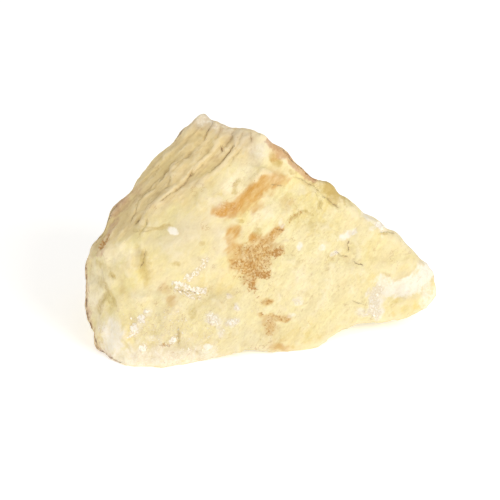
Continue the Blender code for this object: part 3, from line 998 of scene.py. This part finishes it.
@dataclass(frozen=True)
class CalciteFinish:
    """Massive calcite: matt, a little translucent, with stains, crust and bruises where the mesh says."""

    ragged: bpy.types.NodeTree
    mottle: bpy.types.NodeTree
    palette: Palette = Palette()
    gold_clouds: Crumbs = Crumbs(ZoneName.GOLD, 420.0, 0.8, 0.38, 0.8)
    cream_clouds: Crumbs = Crumbs(ZoneName.CREAM, 420.0, 0.95, 0.38, 0.85)
    olive_clouds: Crumbs = Crumbs(ZoneName.OLIVE, 700.0, 1.0, 0.42, 0.85)
    rose_clouds: Crumbs = Crumbs(ZoneName.ROSE, 600.0, 1.0, 0.25, 0.8)
    pale_crackle: Crumbs = Crumbs(ZoneName.IRON, 1300.0, 0.5, 0.1, 0.6)
    rust_crumbs: Crumbs = Crumbs(ZoneName.IRON, 1700.0, 0.52, 0.07, 0.9)
    film_clouds: Crumbs = Crumbs(ZoneName.FILM, 800.0, 0.9, 0.24, 0.76)
    # Umber specks and painted shade between the crust's crumbs.
    crust_gaps_and_shade: Crumbs = Crumbs(ZoneName.CRUST, 1500.0, 0.95, 0.1, 0.45)
    crust_crumbs: Crumbs = Crumbs(ZoneName.CRUST, 1500.0, 0.62, 0.08, 0.95)
    bruise_crumbs: Crumbs = Crumbs(ZoneName.BRUISE, 900.0, 0.9, 0.22, 0.9)
    roughness: float = 0.62
    crust_roughness: float = 0.85
    plate_polish: float = 0.12
    bump_strength: float = 0.8
    bump_distance: float = 0.00035
    subsurface: float = 0.1
    subsurface_radius: Triple = (1.0, 0.75, 0.4)
    subsurface_scale: float = 0.0007
    ior: float = 1.5
    specular: float = 0.4

    def build(self, name: str) -> bpy.types.Material:
        """Makes the material.

        Args:
            name: Its name.

        Returns:
            The material.
        """
        values = {
            "Subsurface Weight": self.subsurface,
            "Subsurface Radius": self.subsurface_radius,
            "Subsurface Scale": self.subsurface_scale,
            "IOR": self.ior,
            "Specular IOR Level": self.specular,
        }
        material, wiring, shader = new_material(name, values)
        painting = Painting(self, wiring)
        relief = {"Strength": self.bump_strength, "Distance": self.bump_distance}
        relief["Height"] = painting.height()
        wiring.feed(shader["Base Color"], painting.colour())
        wiring.feed(shader["Roughness"], painting.roughness())
        wiring.feed(shader["Normal"], wiring.node("ShaderNodeBump", relief).outputs["Normal"])
        return material


@dataclass
class Painting:
    """The calcite's colour, laid coat over coat, with its roughness and its finest relief."""

    finish: CalciteFinish
    wiring: Wiring
    place: Socket = field(init=False)
    sheets: Socket = field(init=False)
    crust: Socket = field(init=False)
    tone: Socket = field(init=False)

    def __post_init__(self) -> None:
        """Finds the Object coordinates, the same drawn out along the sheets, and the crust's crumbs."""
        self.place = self.wiring.node("ShaderNodeTexCoord").outputs["Object"]
        self.sheets = self.drawn_out(0.1, 0.35)
        self.crust = self.broken(self.place, self.finish.crust_crumbs)

    def drawn_out(self, along: float, inwards: float) -> Socket:
        """Coordinates in which noise is drawn out along the sheets.

        Args:
            along: The share of a step along the sheets that is left.
            inwards: The share of a step into them that is left.

        Returns:
            The coordinates.
        """
        joined = self.wiring.node("ShaderNodeCombineXYZ")
        ways = (("X", SHEETS.along * along), ("Y", SHEETS.inwards * inwards), ("Z", SHEETS.bedding))
        for axis, direction in ways:
            inputs = {0: self.place, 1: direction}
            dot = self.wiring.node("ShaderNodeVectorMath", inputs, operation="DOT_PRODUCT")
            self.wiring.feed(joined.inputs[axis], dot.outputs["Value"])
        return joined.outputs["Vector"]

    def broken(self, coordinates: Socket, crumbs: Crumbs) -> Socket:
        """A zone's mask, broken up by the ragged group.

        Args:
            coordinates: Where the group looks up its noise.
            crumbs: The zone, the crumbs' size and how much they cover.

        Returns:
            The broken mask, times its strength.
        """
        inputs = {"Coordinates": coordinates, "Mask": self.wiring.attribute(crumbs.zone)}
        inputs |= {"Scale": crumbs.scale, "Cover": crumbs.cover, "Softness": crumbs.softness}
        node = self.wiring.node("ShaderNodeGroup", inputs, node_tree=self.finish.ragged)
        return self.wiring.times(node.outputs["Mask"], crumbs.strength)

    def lay(self, *coats: tuple[Number, Socket | Colour]) -> None:
        """Lays coats over the tone, each as strong as its share."""
        for share, colour in coats:
            self.tone = self.wiring.blend(share, self.tone, colour)

    def lay_body(self) -> None:
        """Lays the calcite's own colours: clouds of yellow, peach and cream, with flecks and fine grain."""
        wiring, finish, colours = self.wiring, self.finish, self.finish.palette
        brushed = self.drawn_out(0.45, 0.7)
        mottle = wiring.node("ShaderNodeGroup", {"Coordinates": brushed}, node_tree=finish.mottle)
        cloud, fleck, grain = (mottle.outputs[name] for name in ("Cloud", "Fleck", "Grain"))
        flecked = wiring.attribute(ZoneName.FLECK)
        peach = wiring.noise(brushed, 170.0, 5.0, 0.6)
        lemon = wiring.noise(brushed, 230.0, 5.0, 0.6)
        speck = wiring.climb(wiring.noise(brushed, 1400.0, 6.0, 0.78), 0.53, 0.65)
        self.tone = wiring.blend(cloud, colours.pale, colours.yellow)
        self.lay(
            (wiring.climb(peach, 0.48, 0.66, 0.0, 0.45), colours.peach),
            (wiring.climb(lemon, 0.48, 0.66, 0.0, 0.4), colours.lemon),
            (self.broken(brushed, finish.gold_clouds), colours.gold),
            (self.broken(brushed, finish.cream_clouds), colours.cream),
            (wiring.times(flecked, 0.4), colours.bright),
            (wiring.times(fleck, wiring.climb(flecked, 0.0, 1.0, 0.2, 0.68)), colours.bright),
            (wiring.times(speck, wiring.climb(flecked, 0.0, 1.0, 0.1, 0.42)), colours.umber),
            (wiring.climb(grain, 0.0, 1.0, 0.0, 0.1), colours.shade),
        )

    def lay_sheets(self) -> None:
        """Lays straw on the split slope, painted highlight on the sheets' pale edges, grime and painted
        shade on their dark edges, and painted highlight on crests.
        """
        wiring, colours = self.wiring, self.finish.palette
        slope = wiring.attribute(ZoneName.SLOPE)
        highlight_edge = wiring.climb(wiring.noise(self.sheets, 420.0, 6.0, 0.65), 0.52, 0.66)
        dirt_and_shade_edge = wiring.climb(wiring.noise(self.sheets, 760.0, 6.0, 0.72), 0.5, 0.36)
        # Pale edges and crests get painted highlight; dark edges get grime and painted shade.
        self.lay(
            (wiring.times(slope, 0.65), colours.straw),
            (wiring.times(highlight_edge, wiring.climb(slope, 0.0, 1.0, 0.06, 0.18)), colours.cream),
            (wiring.times(dirt_and_shade_edge, wiring.climb(slope, 0.0, 1.0, 0.04, 0.22)), colours.shade),
            (wiring.climb(wiring.attribute(ZoneName.HOLLOW), -0.03, -0.25, 0.0, 0.3), colours.cream),
        )

    def lay_stains(self) -> None:
        """Lays painted shade, with faint grey patches out of sight, and the olive, rose and iron stains; a
        rose streak along the left outline is painted shade too.
        """
        wiring, finish, colours = self.wiring, self.finish, self.finish.palette
        streaked = self.drawn_out(0.3, 0.6)
        cloudy = wiring.climb(wiring.noise(streaked, 700.0, 6.0, 0.65), 0.3, 0.66, 0.5, 1.0)
        wash = wiring.climb(wiring.attribute(ZoneName.WASH), 0.0, 0.95, 0.0, 0.95)
        rust = wiring.blend(wiring.noise(self.place, 1100.0, 3.0), colours.iron, colours.rust)
        self.lay(
            # Painted shade, and faint grey patches out of sight.
            (wiring.attribute(ZoneName.SHADE_AND_DUST), colours.shade_and_dust),
            (self.broken(self.place, finish.olive_clouds), colours.olive),
            (self.broken(self.place, finish.rose_clouds), colours.rose),
            (wiring.times(wash, cloudy), colours.iron),
            (self.broken(self.place, finish.pale_crackle), colours.pale),
            (self.broken(self.place, finish.rust_crumbs), rust),
        )

    def lay_crust(self) -> None:
        """Lays the white film, the crust's crumbs with umber specks and painted shade between them, and the
        bruises.
        """
        finish, colours = self.finish, self.finish.palette
        self.lay(
            (self.broken(self.place, finish.film_clouds), colours.crust),
            # Umber between the crumbs: specks and painted shade.
            (self.broken(self.place, finish.crust_gaps_and_shade), colours.umber),
            (self.crust, colours.crust),
            (self.broken(self.place, finish.bruise_crumbs), colours.crust),
        )

    def lay_cracks(self) -> None:
        """Lays painted shade in the hollows, strongest on the split slope, hair cracks all over, and the
        cracks' dark lines of grime and painted shade.
        """
        wiring, place, colours = self.wiring, self.place, self.finish.palette
        hollow_shade_share = wiring.climb(wiring.attribute(ZoneName.SLOPE), 0.0, 1.0, 0.12, 0.3)
        hollow = wiring.climb(wiring.attribute(ZoneName.HOLLOW), 0.03, 0.32)
        hair = wiring.near(wiring.noise(self.drawn_out(0.5, 0.8), 210.0, 6.0, 0.62), 0.5, 0.011)
        some = wiring.climb(wiring.noise(place, 160.0, 3.0), 0.52, 0.64, 0.0, 0.4)
        # Painted shade in the hollows, stronger on the split slope; rust hair cracks.
        self.lay((wiring.times(hollow, hollow_shade_share), colours.shade), (wiring.times(hair, some), colours.rust))

        dirt_and_shade = wiring.attribute(ZoneName.CRACK_DIRT_AND_SHADE)
        shaken = wiring.climb(wiring.noise(place, 1300.0, 4.0, 0.7), 0.3, 0.7, -0.16, 0.16)
        offset = wiring.plus(wiring.attribute(ZoneName.OFFSET), shaken)
        uneven = wiring.climb(wiring.noise(place, 600.0, 4.0, 0.6), 0.36, 0.6, 0.25, 1.0)
        # A rust halo, then the dark line of grime and painted shade.
        for width, most, colour in ((0.6, 0.3, colours.rust), (0.22, 0.95, colours.crack_dirt_and_shade)):
            line = wiring.times(wiring.near(offset, 0.0, width), wiring.times(dirt_and_shade, most))
            self.lay((wiring.times(line, uneven), colour))

    def colour(self) -> Socket:
        """Lays all the coats, and gives the colour that they make."""
        for lay in (self.lay_body, self.lay_sheets, self.lay_stains, self.lay_crust, self.lay_cracks):
            lay()
        return self.tone

    def roughness(self) -> Socket:
        """The roughness: more on the crust, less on the smooth plate."""
        wiring, finish = self.wiring, self.finish
        rough = wiring.climb(self.crust, 0.0, 1.0, finish.roughness, finish.crust_roughness)
        return wiring.minus(rough, wiring.times(wiring.attribute(ZoneName.PLATE), finish.plate_polish))

    def height(self) -> Socket:
        """The height of the grain, the crumbs and the sheets' edges, in shares of the bump's distance."""
        wiring = self.wiring
        flecked = wiring.climb(wiring.attribute(ZoneName.FLECK), 0.0, 0.8, 1.8, 2.9)
        grain = wiring.times(wiring.noise(self.place, 1300.0, 8.0, 0.8), flecked)
        pitted = wiring.node("ShaderNodeTexVoronoi", {"Vector": self.place, "Scale": 1500.0})
        crumbs = wiring.times(pitted.outputs["Distance"], wiring.climb(self.crust, 0.0, 1.0, 0.1, 0.5))
        slope = wiring.climb(wiring.attribute(ZoneName.SLOPE), 0.0, 1.0, 0.3, 0.45)
        edges = wiring.times(wiring.noise(self.sheets, 700.0, 7.0, 0.75), slope)
        return wiring.plus(wiring.plus(grain, crumbs), edges)


@dataclass(frozen=True)
class GrainFinish:
    """Loose calcite grains: off-white, with a little yellow from one to the next."""

    mottle: bpy.types.NodeTree
    palette: Palette = Palette()
    fleck_scale: float = 1500.0
    cream_share: float = 0.6
    roughness: float = 0.55
    subsurface: float = 0.1
    subsurface_scale: float = 0.0006

    def build(self, name: str) -> bpy.types.Material:
        """Makes the material.

        Args:
            name: Its name.

        Returns:
            The material.
        """
        values = {
            "Roughness": self.roughness,
            "Subsurface Weight": self.subsurface,
            "Subsurface Scale": self.subsurface_scale,
        }
        material, wiring, shader = new_material(name, values)
        place = wiring.node("ShaderNodeTexCoord").outputs["Object"]
        given = {"Coordinates": place, "Fleck scale": self.fleck_scale}
        mottle = wiring.node("ShaderNodeGroup", given, node_tree=self.mottle)
        fleck = wiring.climb(mottle.outputs["Fleck"], 0.0, 1.0, 0.0, self.cream_share)
        wiring.feed(shader["Base Color"], wiring.blend(fleck, self.palette.crust, self.palette.cream))
        return material


# ---------------------------------------------------------------- the lump
def placed(name: str, data: bpy.types.ID) -> bpy.types.Object:
    """Puts a mesh, a lamp or a camera in the scene.

    Args:
        name: The object's name.
        data: The mesh, the lamp or the camera.

    Returns:
        The object.
    """
    item = bpy.data.objects.new(name, data)
    bpy.context.scene.collection.objects.link(item)
    return item


def as_modified(holder: bpy.types.Object) -> bpy.types.Mesh:
    """A new plain mesh, as the object's modifiers leave it."""
    graph = bpy.context.evaluated_depsgraph_get()
    return bpy.data.meshes.new_from_object(holder.evaluated_get(graph))


def with_modifier(mesh: bpy.types.Mesh, kind: str, **settings: object) -> bpy.types.Mesh:
    """The mesh as one modifier leaves it.

    Args:
        mesh: The mesh.
        kind: The modifier's type.
        **settings: Its properties.

    Returns:
        A new mesh.
    """
    holder = placed("holder", mesh)
    modifier = holder.modifiers.new(kind.title(), kind)
    for name, value in settings.items():
        setattr(modifier, name, value)
    result = as_modified(holder)
    bpy.data.objects.remove(holder)
    return result


@dataclass
class Lump:
    """The lump of calcite, with its fine relief and its stains."""

    finish: CalciteFinish
    grid: float = 0.00048
    passes: int = 6
    brow_fade: float = 3.0
    brow_wander: float = 2.5
    sheets_elsewhere: float = 0.42
    ledge_facing: Span = (-0.05, 0.4)
    crack_facing: Span = (0.02, 0.34)
    ledge_pitches: tuple[Span, ...] = ((2.3, 0.11), (1.1, 0.04))
    ledge_wobble: float = 0.8
    hidden_wobble: float = 2.6
    crack_wander: float = 0.35
    hidden_crack_depth: float = 0.35
    # How dark the hidden cracks' lines of grime and painted shade are.
    hidden_crack_stain_and_shade: float = 0.6
    offset_reach: float = 3.0
    swell_heights: Span = (0.24, 0.11)
    pit_depth: float = 0.1
    crust_height: float = 0.15
    bruise_depth: float = 0.1
    fleck_height: float = 0.14
    hollow_passes: tuple[int, int] = (4, 24)
    stone: bpy.types.Object = field(init=False)

    def body(self) -> bpy.types.Mesh:
        """The frame's lump with an even, fine mesh and no facets.

        Returns:
            A new mesh.
        """
        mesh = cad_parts[NODE].data.copy()
        bm = bmesh.new()
        bm.from_mesh(mesh)
        bmesh.ops.remove_doubles(bm, verts=bm.verts, dist=1e-6)
        bm.to_mesh(mesh)
        bm.free()
        mesh = with_modifier(mesh, "REMESH", mode="VOXEL", voxel_size=self.grid)
        return with_modifier(mesh, "SMOOTH", factor=0.5, iterations=self.passes)

    def split_slope(self, surface: Surface) -> np.ndarray:
        """Where the calcite has split in sheets, with a wandering edge.

        Args:
            surface: The lump's surface.

        Returns:
            For each point, 1 on the split slope, less in patches out of sight, 0 elsewhere.
        """
        distance, side = off_route(surface.places, BROW)
        wandering = -distance * side + self.brow_wander * fractal(surface.points, 8.0, 3, 90.0)
        shown = surface.shown
        patchy = smoothstep(0.05, 0.45, fractal(surface.points, 26.0, 3, 96.0))
        split = smoothstep(-self.brow_fade, self.brow_fade, wandering)
        return split * shown + self.sheets_elsewhere * patchy * (1.0 - shown)

    def ledges(self, surface: Surface, slope: np.ndarray) -> np.ndarray:
        """The thin edges of the split sheets.

        Args:
            surface: The lump's surface.
            slope: How far each point belongs to the split slope.

        Returns:
            Their relief in mm.
        """
        points = surface.points
        in_view = smoothstep(*self.ledge_facing, surface.facing)
        wobble = self.ledge_wobble * fractal(SHEETS.drawn_out(points, 0.8), 3.5, 3, 12.0)
        wobble += self.hidden_wobble * (1.0 - in_view) * fractal(points, 8.0, 3, 14.0)
        across = points @ np.array(SHEETS.bedding) + wobble
        patchy = smoothstep(-0.5, 0.5, fractal(points, 9.0, 3, 31.0))
        relief = np.zeros(len(points))
        for pitch, height in self.ledge_pitches:
            phase = (across / pitch) % 1.0
            relief += height * (smoothstep(0.0, 0.25, phase) * (1.0 - phase) - 0.4)
        return relief * (0.12 + 0.88 * slope) * (0.35 + 0.65 * patchy) * (0.45 + 0.55 * in_view)

    def cracks(self, surface: Surface, fields: dict[ZoneName, np.ndarray]) -> np.ndarray:
        """The cracks. How dark their lines of grime and painted shade are, and the distance from them to one
        side or the other, go in the fields.

        Args:
            surface: The lump's surface.
            fields: The numbers to keep for each point.

        Returns:
            The cracks' relief in mm.
        """
        points, shown = surface.points, surface.shown
        wander = np.column_stack((fractal(points, 2.4, 3, 5.0), fractal(points, 2.4, 3, 66.0)))
        places = surface.places + self.crack_wander * wander
        in_view = smoothstep(*self.crack_facing, surface.facing)
        relief, dirt_and_shade = np.zeros(len(points)), np.zeros(len(points))
        nearest, offset = np.full(len(points), np.inf), np.full(len(points), self.offset_reach)
        for crack in CRACKS:
            distance, side = off_route(places, crack.route)
            relief += crack.relief(distance, side) * in_view
            closer = (distance < nearest) & (crack.stain_and_shade > 0.0)
            nearest = np.where(closer, distance, nearest)
            offset = np.where(closer, distance * side, offset)
            dirt_and_shade = np.where(closer, crack.darkness(distance), dirt_and_shade)
        # Out of sight: thin branching cracks with dark lines of grime and painted shade.
        branching = fractal(points, 15.0, 3, 140.0)
        some = smoothstep(0.05, 0.45, fractal(points, 12.0, 2, 150.0))
        thin = smoothstep(0.035, 0.0, np.abs(branching))
        relief -= self.hidden_crack_depth * thin * some * (1.0 - shown)
        hidden = shown < 0.5
        dirt_and_shade *= shown * (0.45 + 0.55 * in_view)
        fields[ZoneName.CRACK_DIRT_AND_SHADE] = np.where(hidden, self.hidden_crack_stain_and_shade * some * (1.0 - shown), dirt_and_shade)
        offset = np.where(hidden, branching * 12.0, offset)
        fields[ZoneName.OFFSET] = np.clip(offset, -self.offset_reach, self.offset_reach)
        return relief

    def weathering(self, surface: Surface, fields: dict[ZoneName, np.ndarray]) -> np.ndarray:
        """Fine swells, pits and crumbs all over.

        Args:
            surface: The lump's surface.
            fields: The numbers to keep for each point.

        Returns:
            Their relief in mm.
        """
        points = surface.points
        broad, fine = self.swell_heights
        calm = 1.0 - 0.6 * fields[ZoneName.PLATE]
        swells = broad * fractal(points, 4.5, 4, 7.0) + fine * fractal(points, 1.6, 3, 8.0)
        pits = -self.pit_depth * smoothstep(0.32, 0.8, fractal(points, 2.6, 3, 17.0))
        crumbs = self.crust_height * (0.5 + fractal(points, 1.0, 3, 27.0))
        crust = smoothstep(0.3, 0.7, fields[ZoneName.CRUST] + 0.4 * fractal(points, 1.2, 3, 37.0))
        dents = -self.bruise_depth * smoothstep(0.3, 0.8, fields[ZoneName.BRUISE])
        roughened = self.fleck_height * fields[ZoneName.FLECK] * fractal(points, 1.1, 2, 47.0)
        return (swells + pits) * calm + crumbs * crust + dents + roughened

    def build(self) -> bpy.types.Object:
        """Makes the lump and keeps its zones in its mesh.

        Returns:
            The lump's object.
        """
        surface = Surface(self.body())
        places, shown = surface.places, surface.shown
        fields = {zone.name: zone.field(surface.points, places, shown) for zone in ZONES}
        slope = self.split_slope(surface)
        fields[ZoneName.SLOPE] = slope
        cracks = self.cracks(surface, fields)
        surface.raise_by(self.ledges(surface, slope) + cracks + self.weathering(surface, fields))
        near, wide = self.hollow_passes
        fields[ZoneName.HOLLOW] = surface.hollowness(near) + 0.5 * surface.hollowness(wide)
        for name, values in fields.items():
            surface.store(name, values)
        surface.mesh.shade_smooth()
        surface.mesh.name = "calcite_stone"
        self.stone = placed("calcite_stone", surface.mesh)
        return self.stone

    def dress(self) -> None:
        """Gives the lump its finish, and its place in the frame."""
        self.stone.data.materials.clear()
        self.stone.data.materials.append(self.finish.build("massive calcite"))
        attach(self.stone, "root")
        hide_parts(NODE)


@dataclass
class CrustGrains:
    """Loose rhombs of calcite on the crust, strewn over the lump with Geometry Nodes."""

    finish: GrainFinish
    stone: bpy.types.Object
    size: float = 0.00042
    density: float = 900000.0
    seed: int = 4
    rhomb: Triple = (1.0, 1.0, 0.6)
    lean: Span = (0.35, 0.4)
    turn: Triple = (0.9, 0.9, math.tau)
    sizes: Span = (0.45, 1.35)
    crust_wanted: Span = (0.35, 0.9)
    grains: bpy.types.Object = field(init=False)

    def tree(self, material: bpy.types.Material) -> bpy.types.NodeTree:
        """The node tree that strews the grains.

        Args:
            material: The grains' material.

        Returns:
            The tree, with sockets named Grain size, Density and Seed.
        """
        tree = bpy.data.node_groups.new("strewn grains", "GeometryNodeTree")
        socket(tree, "Geometry", "INPUT", "NodeSocketGeometry")
        socket(tree, "Grain size", "INPUT", "NodeSocketFloat", self.size)
        socket(tree, "Density", "INPUT", "NodeSocketFloat", self.density)
        socket(tree, "Seed", "INPUT", "NodeSocketInt", self.seed)
        socket(tree, "Geometry", "OUTPUT", "NodeSocketGeometry")
        wiring = Wiring(tree)
        given = wiring.node("NodeGroupInput").outputs
        seed = given["Seed"]

        named = {"Name": ZoneName.CRUST.value}
        crust = wiring.node("GeometryNodeInputNamedAttribute", named, data_type="FLOAT")
        wanted = wiring.climb(crust.outputs["Attribute"], *self.crust_wanted)
        density = wiring.times(wanted, given["Density"])
        spread = {"Mesh": given["Geometry"], "Density": density, "Seed": seed}
        strewer = wiring.node("GeometryNodeDistributePointsOnFaces", spread, distribute_method="RANDOM")
        points = strewer.outputs

        rhomb = wiring.node("GeometryNodeMeshCube", {"Size": self.rhomb})
        position = wiring.node("GeometryNodeInputPosition").outputs["Position"]
        split = wiring.node("ShaderNodeSeparateXYZ", {"Vector": position}).outputs
        leans = {axis: wiring.times(split[by], share) for axis, by, share in zip("XY", "YZ", self.lean)}
        offset = wiring.node("ShaderNodeCombineXYZ", leans).outputs["Vector"]
        moved = {"Geometry": rhomb.outputs["Mesh"], "Offset": offset}
        leaning = wiring.node("GeometryNodeSetPosition", moved)

        turns = {"Min": (0.0, 0.0, 0.0), "Max": self.turn, "Seed": seed}
        turned = wiring.node("FunctionNodeRandomValue", turns, data_type="FLOAT_VECTOR").outputs["Value"]
        swells = {2: self.sizes[0], 3: self.sizes[1], "Seed": seed}
        swell = wiring.node("FunctionNodeRandomValue", swells, data_type="FLOAT").outputs[1]
        turns = {"Rotation": points["Rotation"], "Rotate By": turned}
        rotation = wiring.node("FunctionNodeRotateEuler", turns, rotation_type="EULER", space="LOCAL")
        strewn = {
            "Points": points["Points"],
            "Instance": leaning.outputs["Geometry"],
            "Rotation": rotation.outputs["Rotation"],
            "Scale": wiring.times(swell, given["Grain size"]),
        }
        grains = wiring.node("GeometryNodeInstanceOnPoints", strewn).outputs["Instances"]
        real = wiring.node("GeometryNodeRealizeInstances", {"Geometry": grains}).outputs["Geometry"]
        painted = wiring.node("GeometryNodeSetMaterial", {"Geometry": real, "Material": material})
        wiring.node("NodeGroupOutput", {"Geometry": painted.outputs["Geometry"]})
        return tree

    def build(self) -> bpy.types.Object:
        """Strews the grains and makes them a plain mesh.

        Returns:
            The grains' object.
        """
        material = self.finish.build("crust calcite")
        holder = placed("grain_host", self.stone.data.copy())
        modifier = holder.modifiers.new("Strewn grains", "NODES")
        modifier.node_group = self.tree(material)
        values = {"Grain size": self.size, "Density": self.density, "Seed": self.seed}
        for item in modifier.node_group.interface.items_tree:
            if item.item_type == "SOCKET" and item.in_out == "INPUT" and item.name in values:
                modifier[item.identifier] = values[item.name]
        mesh = as_modified(holder)
        holder.modifiers.remove(modifier)
        bpy.data.objects.remove(holder)
        mesh.name = "crust_grains"
        mesh.materials.clear()
        mesh.materials.append(material)
        self.grains = placed("crust_grains", mesh)
        return self.grains

    def dress(self) -> None:
        """Gives the grains their place in the frame."""
        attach(self.grains, "root")


# ---------------------------------------------------------------- the studio
@dataclass
class Studio:
    """A pale floor, soft light and the camera."""

    floor_size: float = 3.0
    floor_drop: float = 0.00005
    floor_colour: Colour = (0.92, 0.92, 0.92, 1.0)
    floor_roughness: float = 0.9
    floor_specular: float = 0.1
    glow_colour: Colour = (1.0, 1.0, 1.0, 1.0)
    floor_glow: float = 0.32
    lens: float = 200.0
    sensor: float = 36.0
    light_distance: float = 1.0
    light_colour: Triple = (1.0, 0.985, 0.96)
    key_power: float = 5.7
    key_size: float = 0.55
    key_direction: Triple = (0.62, -0.66, 0.5)
    fill_power: float = 2.1
    fill_size: float = 0.8
    fill_direction: Triple = (-0.75, -0.6, 0.3)
    sky: float = 0.66
    sky_colour: Colour = (1.0, 0.985, 0.955, 1.0)

    def floor(self) -> None:
        """Lays the floor."""
        bm = bmesh.new()
        bmesh.ops.create_grid(bm, x_segments=1, y_segments=1, size=self.floor_size / 2.0)
        mesh = bpy.data.meshes.new("floor")
        bm.to_mesh(mesh)
        bm.free()
        values = {
            "Base Color": self.floor_colour,
            "Roughness": self.floor_roughness,
            "Specular IOR Level": self.floor_specular,
            "Emission Color": self.glow_colour,
            "Emission Strength": self.floor_glow,
        }
        material, *_ = new_material("pale floor", values)
        mesh.materials.append(material)
        ground = placed("floor", mesh)
        ground.location.z = -self.floor_drop

    def lights(self) -> None:
        """Sets the soft light."""
        world = bpy.data.worlds.new("studio")
        world.use_nodes = True
        background = world.node_tree.nodes["Background"]
        background.inputs["Color"].default_value = self.sky_colour
        background.inputs["Strength"].default_value = self.sky
        bpy.context.scene.world = world
        self.lamp("key", self.key_power, self.key_size, self.key_direction)
        self.lamp("fill", self.fill_power, self.fill_size, self.fill_direction)

    def lamp(self, name: str, power: float, size: float, direction: Triple) -> None:
        """Sets one round lamp, turned towards the lump.

        Args:
            name: The lamp's name.
            power: Its power in watts.
            size: Its diameter in metres.
            direction: Where it is, from the lump.
        """
        light = bpy.data.lights.new(name, "AREA")
        light.shape = "DISK"
        light.size = size
        light.energy = power
        light.color = self.light_colour
        lamp = placed(name, light)
        towards = Vector(direction).normalized()
        lamp.location = towards * self.light_distance
        lamp.rotation_euler = towards.to_track_quat("Z", "Y").to_euler()

    def camera(self) -> None:
        """Sets the camera on the drawing's eye."""
        data = bpy.data.cameras.new("camera")
        data.lens = self.lens
        data.sensor_width = self.sensor
        camera = placed("camera", data)
        camera.location = DRAWING.eye * MM
        camera.rotation_euler = DRAWING.back.to_track_quat("Z", "Y").to_euler()
        bpy.context.scene.camera = camera

    def build(self) -> None:
        """Makes the studio."""
        self.floor()
        self.lights()
        self.camera()
        bpy.context.scene.view_settings.view_transform = "Standard"


def main() -> None:
    """Builds the pieces in order and reports each."""
    logging.basicConfig(level=logging.INFO, format="%(name)s: %(message)s")
    mottle = mottle_group()
    lump = Lump(CalciteFinish(ragged_group(), mottle))
    stone = lump.build()
    lump.dress()
    LOG.info("%s: %d faces", stone.name, len(stone.data.polygons))
    crumbs = CrustGrains(GrainFinish(mottle), stone)
    grains = crumbs.build()
    crumbs.dress()
    LOG.info("%s: %d faces", grains.name, len(grains.data.polygons))
    Studio().build()


if __name__ == "__main__":
    main()
